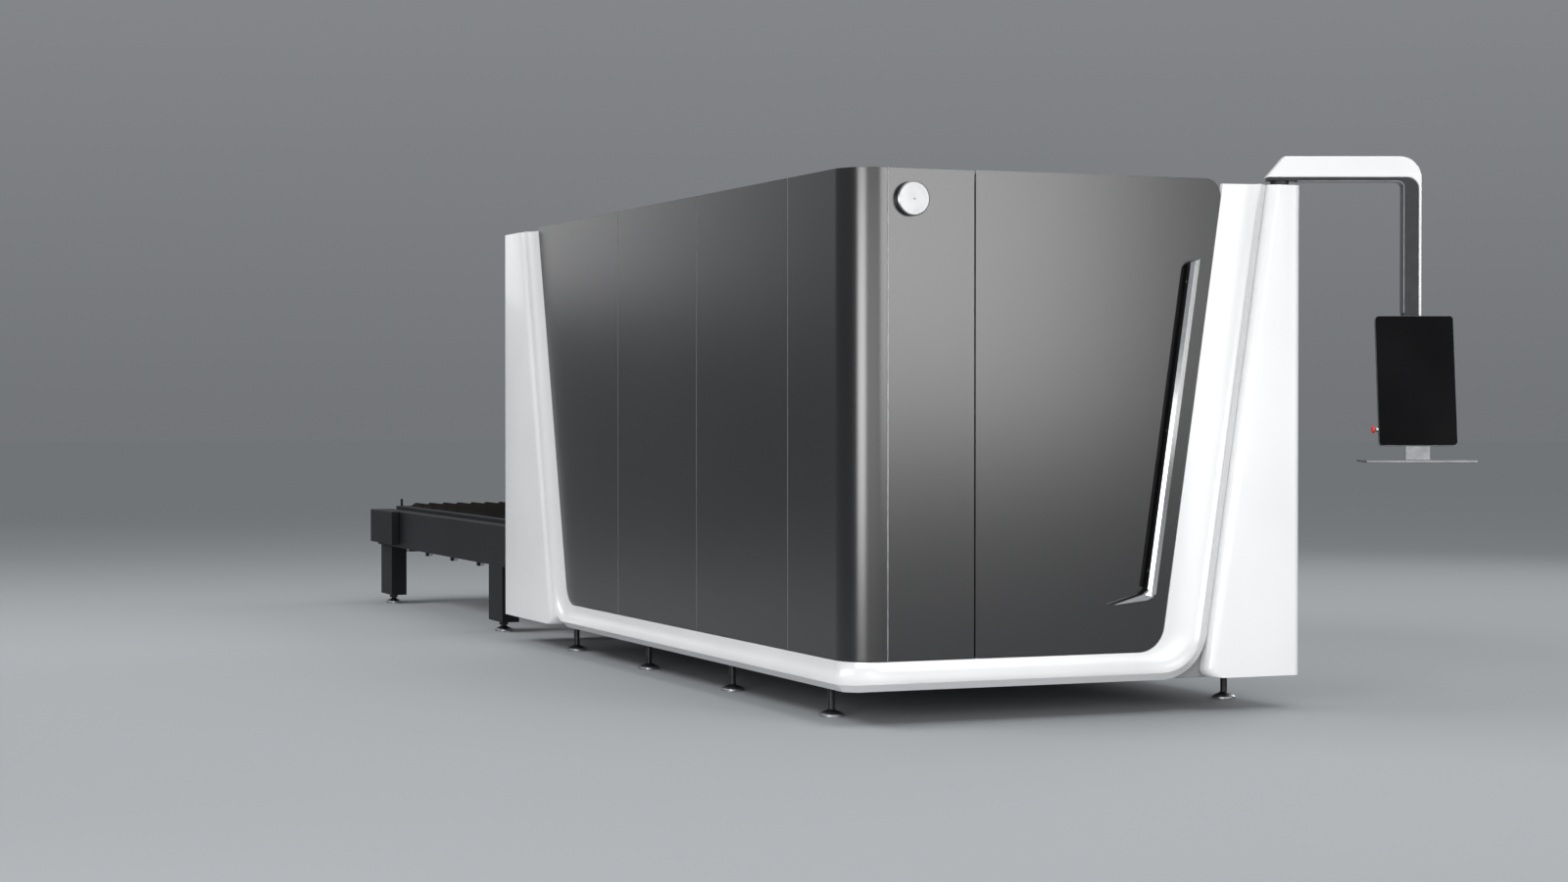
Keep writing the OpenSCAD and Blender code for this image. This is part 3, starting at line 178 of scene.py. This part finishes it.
def headFinish(name):  # copper nozzle, brass holder, ceramic ring, anodised body
    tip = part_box(name)[0].z
    nozzle, holder, ring = tip + 0.03, tip + 0.07, tip + 0.12
    return {"colours": [(0.3, 0.305, 0.31), (0.38, 0.385, 0.39)],
            "cloud": 18, "rough": (0.28, 0.4), "grain": 1800, "bump": 0.08, "metal": 0.9,
            "zones": [(0, nozzle, (0.66, 0.3, 0.16), 1.0),
                      (nozzle, holder, (0.55, 0.47, 0.3), 1.0),
                      (holder, ring, (0.72, 0.7, 0.64), 0.0)]}


finishes = {
    "panelPaint": {"colours": [(0.0055, 0.0056, 0.006), (0.0085, 0.0086, 0.009)],
                   "cloud": 1.2, "rough": (0.22, 0.27), "grain": 900, "bump": 0.03, "specular": 0.8},
    "whitePaint": {"colours": [(0.74, 0.745, 0.75), (0.79, 0.792, 0.794)],
                   "cloud": 1.5, "rough": (0.24, 0.32), "grain": 700, "bump": 0.03, "coat": 0.3},
    "cradlePaint": {"colours": [(0.68, 0.685, 0.69), (0.72, 0.722, 0.724)],
                    "cloud": 1.5, "rough": (0.3, 0.36), "grain": 700, "bump": 0.02, "metal": 0.1},
    "armPaint": {"colours": [(0.7, 0.705, 0.71), (0.75, 0.752, 0.754)],
                 "cloud": 4, "rough": (0.26, 0.34), "grain": 900, "bump": 0.03, "coat": 0.2},
    "tablePaint": {"colours": [(0.006, 0.0068, 0.0088), (0.01, 0.0112, 0.0138)],
                   "cloud": 3.0, "rough": (0.42, 0.56), "grain": 1400, "bump": 0.12, "specular": 0.2},
    "framePaint": {"colours": [(0.17, 0.175, 0.18), (0.22, 0.225, 0.23)],
                   "cloud": 2.5, "rough": (0.4, 0.55), "grain": 1200, "bump": 0.1},
    # dark studs on bright pads
    "footSteel": {"colours": [(0.02, 0.021, 0.023), (0.04, 0.041, 0.044)],
                  "cloud": 40, "rough": (0.3, 0.45), "grain": 1500, "bump": 0.1, "metal": 0.6,
                  "zones": [(-0.01, 0.0165, (0.4, 0.41, 0.42), 1.0)]},
    "chrome": {"colours": [(0.78, 0.785, 0.79), (0.84, 0.845, 0.85)],
               "cloud": 8, "rough": (0.07, 0.13), "grain": 2200, "bump": 0.01, "metal": 1.0},
    "discSteel": {"colours": [(0.25, 0.251, 0.253), (0.29, 0.291, 0.293)],
                  "cloud": 12, "rough": (0.3, 0.4), "grain": 1900, "bump": 0.03, "metal": 1.0},
    "groundSteel": {"colours": [(0.5, 0.505, 0.51), (0.62, 0.625, 0.63)],
                    "cloud": 30, "rough": (0.24, 0.38), "grain": 1600, "bump": 0.06, "metal": 1.0,
                    "stretch": (1, 0.04, 1)},
    "blackPlastic": {"colours": [(0.016, 0.0165, 0.018), (0.024, 0.0245, 0.026)],
                     "cloud": 20, "rough": (0.36, 0.48), "grain": 2600, "bump": 0.12, "specular": 0.3},
    "screenGlass": {"colours": [(0.003, 0.003, 0.0034), (0.005, 0.005, 0.0055)],
                    "cloud": 3, "rough": (0.12, 0.18), "grain": 3000, "bump": 0.0, "specular": 0.12},
    "brushedAluminium": {"colours": [(0.45, 0.455, 0.46), (0.53, 0.535, 0.54)],
                         "cloud": 25, "rough": (0.22, 0.36), "grain": 1500, "bump": 0.05, "metal": 1.0,
                         "stretch": (0.03, 1, 1)},
    "darkAluminium": {"colours": [(0.16, 0.163, 0.168), (0.21, 0.213, 0.218)],
                      "cloud": 25, "rough": (0.26, 0.4), "grain": 1500, "bump": 0.05, "metal": 1.0},
    "redPlastic": {"colours": [(0.52, 0.008, 0.01), (0.62, 0.012, 0.014)],
                   "cloud": 60, "rough": (0.22, 0.32), "grain": 3000, "bump": 0.05, "coat": 0.3},
    "bristle": {"colours": [(0.008, 0.008, 0.008), (0.03, 0.03, 0.031)],
                "cloud": 120, "rough": (0.6, 0.8), "grain": 2500, "bump": 0.2},
    "upperSlat": slatFinish("outer_pallet_slats"),
    "lowerSlat": slatFinish("inner_pallet_slats"),
    "headFinish": headFinish("cutting_head"),
}


def noiseFrom(tree, coords, scale, detail, stretch=None):
    noise = tree.nodes.new("ShaderNodeTexNoise")
    noise.inputs["Scale"].default_value = scale
    noise.inputs["Detail"].default_value = detail
    if stretch:
        mapping = tree.nodes.new("ShaderNodeMapping")
        mapping.inputs["Scale"].default_value = stretch
        tree.links.new(coords.outputs["Object"], mapping.inputs["Vector"])
        tree.links.new(mapping.outputs["Vector"], noise.inputs["Vector"])
    else:
        tree.links.new(coords.outputs["Object"], noise.inputs["Vector"])
    return noise


def paintZones(tree, coords, colour, zones, metal, surface):
    split = tree.nodes.new("ShaderNodeSeparateXYZ")
    tree.links.new(coords.outputs["Object"], split.inputs["Vector"])
    metalness = None
    for low, high, tint, zoneMetal in zones:
        inside = tree.nodes.new("ShaderNodeMath")
        inside.operation = "COMPARE"
        inside.inputs[1].default_value = (low + high) / 2
        inside.inputs[2].default_value = (high - low) / 2
        tree.links.new(split.outputs["Z"], inside.inputs[0])
        blend = tree.nodes.new("ShaderNodeMix")  # its colour sockets are 6, 7 and, going out, 2
        blend.data_type = "RGBA"
        tree.links.new(inside.outputs["Value"], blend.inputs[0])
        tree.links.new(colour, blend.inputs[6])
        blend.inputs[7].default_value = (*tint, 1)
        colour = blend.outputs[2]
        step = tree.nodes.new("ShaderNodeMix")  # its number sockets are 2, 3 and, going out, 0
        tree.links.new(inside.outputs["Value"], step.inputs[0])
        step.inputs[2].default_value = metal
        if metalness:
            tree.links.new(metalness, step.inputs[2])
        step.inputs[3].default_value = zoneMetal
        metalness = step.outputs[0]
    tree.links.new(metalness, surface.inputs["Metallic"])
    return colour


def makeFinish(name, s, common):
    mat = bpy.data.materials.new(name)
    mat.use_nodes = True
    tree = mat.node_tree
    metal = s.get("metal", 0.0)
    surface = tree.nodes["Principled BSDF"]
    surface.inputs["Metallic"].default_value = metal
    surface.inputs["Specular IOR Level"].default_value = s.get("specular", 0.5)
    surface.inputs["Coat Weight"].default_value = s.get("coat", 0.0)
    surface.inputs["Coat Roughness"].default_value = common["coatRough"]
    coords = tree.nodes.new("ShaderNodeTexCoord")
    cloud = noiseFrom(tree, coords, s["cloud"], common["cloudDetail"])
    ramp = tree.nodes.new("ShaderNodeValToRGB")
    for stop, colour, place in zip(ramp.color_ramp.elements, s["colours"], common["cloudStops"]):
        stop.color = (*colour, 1)
        stop.position = place
    tree.links.new(cloud.outputs["Fac"], ramp.inputs["Fac"])
    colour = ramp.outputs["Color"]
    if "zones" in s:
        colour = paintZones(tree, coords, colour, s["zones"], metal, surface)
    tree.links.new(colour, surface.inputs["Base Color"])
    grain = noiseFrom(tree, coords, s["grain"], common["grainDetail"], s.get("stretch"))
    spread = tree.nodes.new("ShaderNodeMapRange")
    ends = ("From Min", "From Max", "To Min", "To Max")
    for end, value in zip(ends, (*common["grainRange"], *s["rough"])):
        spread.inputs[end].default_value = value
    tree.links.new(grain.outputs["Fac"], spread.inputs["Value"])
    tree.links.new(spread.outputs["Result"], surface.inputs["Roughness"])
    if s["bump"]:
        bump = tree.nodes.new("ShaderNodeBump")
        bump.inputs["Strength"].default_value = s["bump"]
        bump.inputs["Distance"].default_value = common["bumpHeight"]
        tree.links.new(grain.outputs["Fac"], bump.inputs["Height"])
        tree.links.new(bump.outputs["Normal"], surface.inputs["Normal"])
    return mat


materials = {name: makeFinish(name, s, finishCommon) for name, s in finishes.items()}
print("finishes ready:", len(materials))


# CAD nodes by finish, with an edge radius in millimetres; none where it is 0

dressing = {
    "panelPaint": (1.5, "corner_panel front_panel side_panel_1 side_panel_2 side_panel_3 door_panel"),
    "whitePaint": (1.0, "front_end_cover rear_end_cover rear_corner_panel right_panel_1 right_panel_2"
                        " right_panel_3 rear_upper_panel rear_lower_panel roof_panels"),
    "cradlePaint": (0.0, "front_cradle side_cradle"),
    "armPaint": (9.0, "arm_shell"),
    "tablePaint": (3.0, "table_beams table_legs table_ties table_end_boxes table_end_stop"
                        " exchange_gearmotor outer_pallet_rails outer_pallet_ends inner_pallet_rails"
                        " inner_pallet_ends"),
    "framePaint": (3.0, "bed_beams sills base_cross_members uprights front_uprights roof_rails"
                        " roof_cross_members scrap_tray gantry_saddles"),
    "footSteel": (1.0, "levelling_feet table_feet"),
    "chrome": (0.8, "door_handle"),
    "discSteel": (0.0, "front_disc"),
    "groundSteel": (0.8, "bed_rails beam_rails track_rollers door_pivots exhaust_collar"),
    "headFinish": (0.8, "cutting_head"),
    "blackPlastic": (2.0, "arm_base arm_core console_display cutting_carriage gantry_motors"),
    "screenGlass": (0.0, "display_glass"),
    "brushedAluminium": (1.5, "gantry_beam stop_body"),
    "darkAluminium": (1.5, "console_shelf"),
    "redPlastic": (1.0, "stop_button"),
    "bristle": (0.5, "slot_brush"),
    "upperSlat": (0.0, "outer_pallet_slats"),
    "lowerSlat": (0.0, "inner_pallet_slats"),
}

# these come in as facets and are shaded smooth instead
sweptNodes = "front_cradle side_cradle front_end_cover rear_end_cover".split()

# angles in degrees, the weld in metres
edgeSettings = {"weld": 0.00002, "crease": 20, "flat": 0.5, "bend": 32, "segments": 2, "weight": 80}


def makeSmoothing(s):  # smooth shading, apart from the creases
    tree = bpy.data.node_groups.new("smoothing", "GeometryNodeTree")
    for way in ("INPUT", "OUTPUT"):
        tree.interface.new_socket("Geometry", in_out=way, socket_type="NodeSocketGeometry")
    start = tree.nodes.new("NodeGroupInput")
    merge = tree.nodes.new("GeometryNodeMergeByDistance")
    merge.inputs["Distance"].default_value = s["weld"]
    bare = tree.nodes.new("GeometryNodeRemoveAttribute")
    bare.inputs["Name"].default_value = "custom_normal"
    smooth = tree.nodes.new("GeometryNodeSetShadeSmooth")
    bend = tree.nodes.new("GeometryNodeInputMeshEdgeAngle")
    sharp = tree.nodes.new("FunctionNodeCompare")
    sharp.inputs["B"].default_value = math.radians(s["crease"])
    tree.links.new(bend.outputs["Unsigned Angle"], sharp.inputs["A"])
    hard = tree.nodes.new("GeometryNodeSetShadeSmooth")
    hard.domain = "EDGE"
    hard.inputs["Shade Smooth"].default_value = False
    tree.links.new(sharp.outputs["Result"], hard.inputs["Selection"])
    chain = [start, merge, bare, smooth, hard, tree.nodes.new("NodeGroupOutput")]
    for a, b in zip(chain, chain[1:]):
        tree.links.new(a.outputs[0], b.inputs[0])
    return tree


def softenEdges(piece, radius, s):
    weld = piece.modifiers.new("weld", "WELD")
    weld.merge_threshold = s["weld"]
    flat = piece.modifiers.new("flat", "DECIMATE")
    flat.decimate_type = "DISSOLVE"
    flat.angle_limit = math.radians(s["flat"])
    bevel = piece.modifiers.new("edge", "BEVEL")
    bevel.width = radius / 1000
    bevel.segments = s["segments"]
    bevel.limit_method = "ANGLE"
    bevel.angle_limit = math.radians(s["bend"])
    even = piece.modifiers.new("even", "WEIGHTED_NORMAL")  # large faces stay flat
    even.weight = s["weight"]


def dressNodes(table):
    smoothing = makeSmoothing(edgeSettings)
    for finish, (radius, names) in table.items():
        for name in names.split():
            node = nodes[name]
            node.data.materials.clear()
            node.data.materials.append(materials[finish])
            if name in sweptNodes:
                node.modifiers.new("smooth", "NODES").node_group = smoothing
            elif radius:
                softenEdges(node, radius, edgeSettings)


dressNodes(dressing)
print("nodes dressed")


# pieces that only the looks need

def addPiece(name, bm, body, finish, edge=0.0):
    bmesh.ops.recalc_face_normals(bm, faces=bm.faces)
    mesh = bpy.data.meshes.new(name)
    bm.to_mesh(mesh)
    bm.free()
    mesh.materials.append(materials[finish])
    mesh.polygons.foreach_set("use_smooth", [True] * len(mesh.polygons))
    piece = bpy.data.objects.new(name, mesh)
    scene.collection.objects.link(piece)
    if edge:
        softenEdges(piece, edge, edgeSettings)
    else:
        mesh.set_sharp_from_angle(angle=math.radians(edgeSettings["bend"]))
    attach(piece, body)
    return piece


def bridge(bm, near, far):  # faces between two rings of as many corners
    for k in range(len(near)):
        n = (k + 1) % len(near)
        bm.faces.new((near[k], near[n], far[n], far[k]))


def addPrism(bm, outline, along):  # outline: points in space, along: the thickness
    first = [bm.verts.new(p) for p in outline]
    last = [bm.verts.new(Vector(p) + Vector(along)) for p in outline]
    bm.faces.new(first)
    bm.faces.new(reversed(last))
    bridge(bm, last, first)


def addTurned(bm, profile, place, axis, steps=24):  # profile: radius and height in metres, along the axis
    turn = Vector((0, 0, 1)).rotation_difference(Vector(axis)).to_matrix().to_4x4()
    spot = Matrix.Translation(place) @ turn
    rings = []
    for radius, height in profile:
        count = steps if radius else 1  # a single point on the axis
        angles = [2 * math.pi * k / steps for k in range(count)]
        points = [Vector((radius * math.cos(a), radius * math.sin(a), height)) for a in angles]
        rings.append([bm.verts.new(spot @ p) for p in points])
    for low, high in zip(rings, rings[1:]):
        for k in range(steps):
            n = (k + 1) % steps
            corners = [low[k % len(low)], low[n % len(low)], high[n % len(high)], high[k % len(high)]]
            bm.faces.new(list(dict.fromkeys(corners)))


# dark plate of painted shade beside the door's handle, standing in for the shadow under the bar; tucked
# under the bar, with a rounded upper end

handleShadeSettings = {
    "width": 29, "proud": 1.2, "lean": 8.5, "barWidth": 40, "tuck": 4,
    "foot": 70, "topDrop": 30, "endRise": 16, "endSag": 12, "endSteps": 9, "edge": 0.5,
}


def makeHandleShadePlate(s):
    low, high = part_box("door_handle")
    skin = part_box("door_panel")[0].y
    slope = math.tan(math.radians(s["lean"]))
    width, tuck = s["width"] / 1000, s["tuck"] / 1000
    rise, sag, steps = s["endRise"] / 1000, s["endSag"] / 1000, s["endSteps"]

    def point(z, inset):  # inset: how far left of the tucked edge
        barLeft = high.x - (high.z - z) * slope - s["barWidth"] / 1000
        return Vector((barLeft + tuck - inset, skin, z))

    zLow, zHigh = low.z + s["foot"] / 1000, high.z - s["topDrop"] / 1000
    outline = [point(zLow, 0), point(zHigh, 0)]
    for k in range(1, steps):
        a = math.pi * k / steps
        outline.append(point(zHigh + rise * math.sin(a) - sag * k / steps, width * (1 - math.cos(a)) / 2))
    outline += [point(zHigh - sag, width), point(zLow, width)]
    bm = bmesh.new()
    addPrism(bm, outline, (0, -s["proud"] / 1000, 0))
    # the near-black glass finish paints the shadow beside the handle onto this thin plate
    addPiece("handleShadePlate", bm, "door", "screenGlass", s["edge"])


makeHandleShadePlate(handleShadeSettings)


# silver trim under the console's arm and down its bar

armPivot = Vector(joints["arm_swivel"]["pos_m"])
barAxis = Vector(joints["console_swivel"]["pos_m"])
armAlong = (barAxis - armPivot).normalized()
armAcross = Vector((-armAlong.y, armAlong.x, 0))


def onArm(u, v, z):  # metres along and across the arm from its pivot, and up
    return Vector((armPivot.x, armPivot.y, 0)) + armAlong * u + armAcross * v + Vector((0, 0, z))


trimSettings = {
    "thickness": 3, "depth": 74, "shellDepth": 104, "start": 70,
    "bend": 30, "bendSteps": 8, "barHalf": 30.5, "endGap": 16,
}


def makeArmTrim(s):
    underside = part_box("arm_shell")[1].z - s["shellDepth"] / 1000
    barFace = (barAxis - armPivot).length - s["barHalf"] / 1000
    bend, steps = s["bend"] / 1000, s["bendSteps"]
    path = [(s["start"] / 1000, underside), (barFace - bend, underside)]
    for k in range(1, steps + 1):
        a = math.pi / 2 * k / steps
        path.append((barFace - bend + bend * math.sin(a), underside - bend + bend * math.cos(a)))
    path.append((barFace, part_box("console_display")[1].z + s["endGap"] / 1000))
    t, half = s["thickness"] / 1000, s["depth"] / 2000
    bm = bmesh.new()
    rings = []
    for k, (u, z) in enumerate(path):
        before, after = path[max(k - 1, 0)], path[min(k + 1, len(path) - 1)]
        way = Vector((after[0] - before[0], after[1] - before[1])).normalized()
        outU, outZ = u + way.y * t, z - way.x * t
        section = [(u, -half, z), (u, half, z), (outU, half, outZ), (outU, -half, outZ)]
        rings.append([bm.verts.new(onArm(*p)) for p in section])
    for a, b in zip(rings, rings[1:]):
        bridge(bm, a, b)
    bm.faces.new(rings[0])
    bm.faces.new(reversed(rings[-1]))
    addPiece("armTrim", bm, "arm", "darkAluminium")


makeArmTrim(trimSettings)


# thin aluminium rim round the display, from near to far behind the glass's front

rimSettings = {
    "front": 181.85, "tilt": 9.5, "width": 330, "height": 556, "corner": 16, "cornerSteps": 8,
    "near": 4.5, "far": 10.0, "proud": 0.8, "nearLip": 1.5, "farLip": 0.5,
}


def makeDisplayRim(s):
    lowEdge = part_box("display_glass")[0].z
    tilt = math.radians(s["tilt"])
    origin = Vector((barAxis.x, barAxis.y, lowEdge)) - armAcross * s["front"] / 1000
    up = Vector((0, 0, math.cos(tilt))) + armAcross * math.sin(tilt)
    back = armAcross * math.cos(tilt) - Vector((0, 0, math.sin(tilt)))
    r, steps = s["corner"], s["cornerSteps"]
    right, top = s["width"] / 2 - r, s["height"] - r
    outer = r + s["proud"]
    section = [(r - s["nearLip"], s["near"]), (outer, s["near"]), (outer, s["far"]),
               (r - s["farLip"], s["far"])]
    bm = bmesh.new()
    rings = []
    for x, z, start in ((right, r, -90), (right, top, 0), (-right, top, 90), (-right, r, 180)):
        for k in range(steps + 1):
            a = math.radians(start + 90 * k / steps)
            spots = [armAlong * (x + math.cos(a) * reach) + up * (z + math.sin(a) * reach) + back * depth
                     for reach, depth in section]
            rings.append([bm.verts.new(origin + spot / 1000) for spot in spots])
    for k, ring in enumerate(rings):
        bridge(bm, ring, rings[(k + 1) % len(rings)])
    addPiece("displayRim", bm, "console", "darkAluminium")


makeDisplayRim(rimSettings)


# bristles and their holder at the pallet slot; the shares are of the brush's depth

brushSettings = {
    "holder": 16, "lipShare": 0.3, "rooted": 1,
    "pitch": 5.5, "start": 0.75, "rows": 2, "rowShare": 0.36, "rowShift": 0.5,
    "root": 2.2, "tip": 0.7, "lean": 2.0, "leanWave": (12.9898, 78.233), "uneven": 4, "unevenWave": 4.1,
}


def makeSlotBrush(s):
    low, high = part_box("slot_brush")
    mid, depth = (low.y + high.y) / 2, high.y - low.y
    base = high.z - s["holder"] / 1000
    lip = depth * s["lipShare"]
    profile = [(low.y, high.z), (low.y, base + lip), (low.y + lip, base),
               (high.y - lip, base), (high.y, base + lip), (high.y, high.z)]
    bm = bmesh.new()
    addPrism(bm, [(low.x, y, z) for y, z in profile], (high.x - low.x, 0, 0))

    def square(x, y, z, half):
        corners = ((-1, -1), (1, -1), (1, 1), (-1, 1))
        return [bm.verts.new((x + dx * half, y + dy * half, z)) for dx, dy in corners]

    count = int((high.x - low.x) * 1000 / s["pitch"]) - 1
    for row in range(s["rows"]):
        y = mid + depth * (row - 0.5) * s["rowShare"]
        for k in range(count):
            x = low.x + (k + s["start"] + s["rowShift"] * row) * s["pitch"] / 1000
            sway = math.sin(s["leanWave"][0] * k + s["leanWave"][1] * row) * s["lean"] / 1000
            end = low.z + s["uneven"] / 1000 * abs(math.sin(s["unevenWave"] * k + row))
            top = square(x, y, base + s["rooted"] / 1000, s["root"] / 1000)
            foot = square(x + sway, y, end, s["tip"] / 1000)
            bm.faces.new(reversed(foot))
            bm.faces.new(top)
            bridge(bm, foot, top)
    piece = addPiece("slotBrush", bm, "machine", "bristle")
    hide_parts("slot_brush")


makeSlotBrush(brushSettings)


# bright V-grooved metal strips in the seams between the dark panels: a painted highlight standing in for
# the light that the panels' edges catch

seamHighlightSettings = {"recess": 0.8, "groove": 1.2, "depth": 3.4}


def makeSeamHighlights(s):
    recess, groove, depth = s["recess"] / 1000, s["groove"] / 1000, s["depth"] / 1000

    def addStrip(bm, start, across, inward, top):  # from the start, at the foot, over the gap
        profile = [(0, recess), (0, depth), (1, depth), (1, recess), (0.5, recess + groove)]
        addPrism(bm, [start + across * a + inward * b for a, b in profile], (0, 0, top - start.z))

    side = bmesh.new()
    row = ["corner_panel", "side_panel_1", "side_panel_2", "side_panel_3"]
    for near, far in zip(row, row[1:]):
        low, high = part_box(far)
        gap = Vector((0, low.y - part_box(near)[1].y, 0))
        addStrip(side, low - gap, gap, Vector((1, 0, 0)), high.z)
    # bright strips of painted highlight along the side seams
    addPiece("sideSeamHighlight", side, "machine", "groundSteel")
    front = bmesh.new()
    low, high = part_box("front_panel")
    gap = Vector((low.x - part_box("corner_panel")[1].x, 0, 0))
    addStrip(front, low - gap, gap, Vector((0, 1, 0)), high.z)
    # a darker strip of painted highlight along the front seam
    addPiece("frontSeamHighlight", front, "machine", "darkAluminium")


makeSeamHighlights(seamHighlightSettings)


# quarter-turn locks on the service panels of the right side and the rear, with dark bars of painted shade
# where their slots are

lockSettings = {
    "inset": 62, "slotLength": 15, "slotWidth": 2.6, "slotFrom": 0.8, "slotRise": 0.7,
    # radius and height, in metres
    "profile": [(0, 0.0012), (0.0085, 0.0012), (0.0098, 0.0022), (0.0128, 0.0022), (0.0146, 0.0008),
                (0.0146, -0.001)],
}


def makePanelLocks(s):
    inset = s["inset"] / 1000
    xAxis, yAxis, zAxis = Vector((1, 0, 0)), Vector((0, 1, 0)), Vector((0, 0, 1))
    discs, slotShade = bmesh.new(), bmesh.new()
    for name in ("right_panel_1", "right_panel_2", "right_panel_3", "rear_upper_panel"):
        low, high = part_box(name)
        heights = (low.z + inset, high.z - inset)
        if name == "rear_upper_panel":
            out, across = yAxis, xAxis
            spots = [Vector((x, high.y, z)) for z in heights for x in (low.x + inset, high.x - inset)]
        else:
            out, across = xAxis, yAxis
            spots = [Vector((high.x, y, z)) for z in heights for y in (low.y + inset, high.y - inset)]
        along = (across + zAxis).normalized() * s["slotLength"] / 2000
        side = along.cross(out).normalized() * s["slotWidth"] / 2000
        for spot in spots:
            addTurned(discs, s["profile"], spot, out)
            base = spot + out * s["slotFrom"] / 1000
            corners = (along + side, along - side, -along - side, -along + side)
            addPrism(slotShade, [base + c for c in corners], out * s["slotRise"] / 1000)
    addPiece("panelLocks", discs, "machine", "groundSteel")
    # black bars in the lock heads paint the shade of the slots, which are not cut
    addPiece("lockSlotShade", slotShade, "machine", "blackPlastic")


makePanelLocks(lockSettings)
print("trim ready")
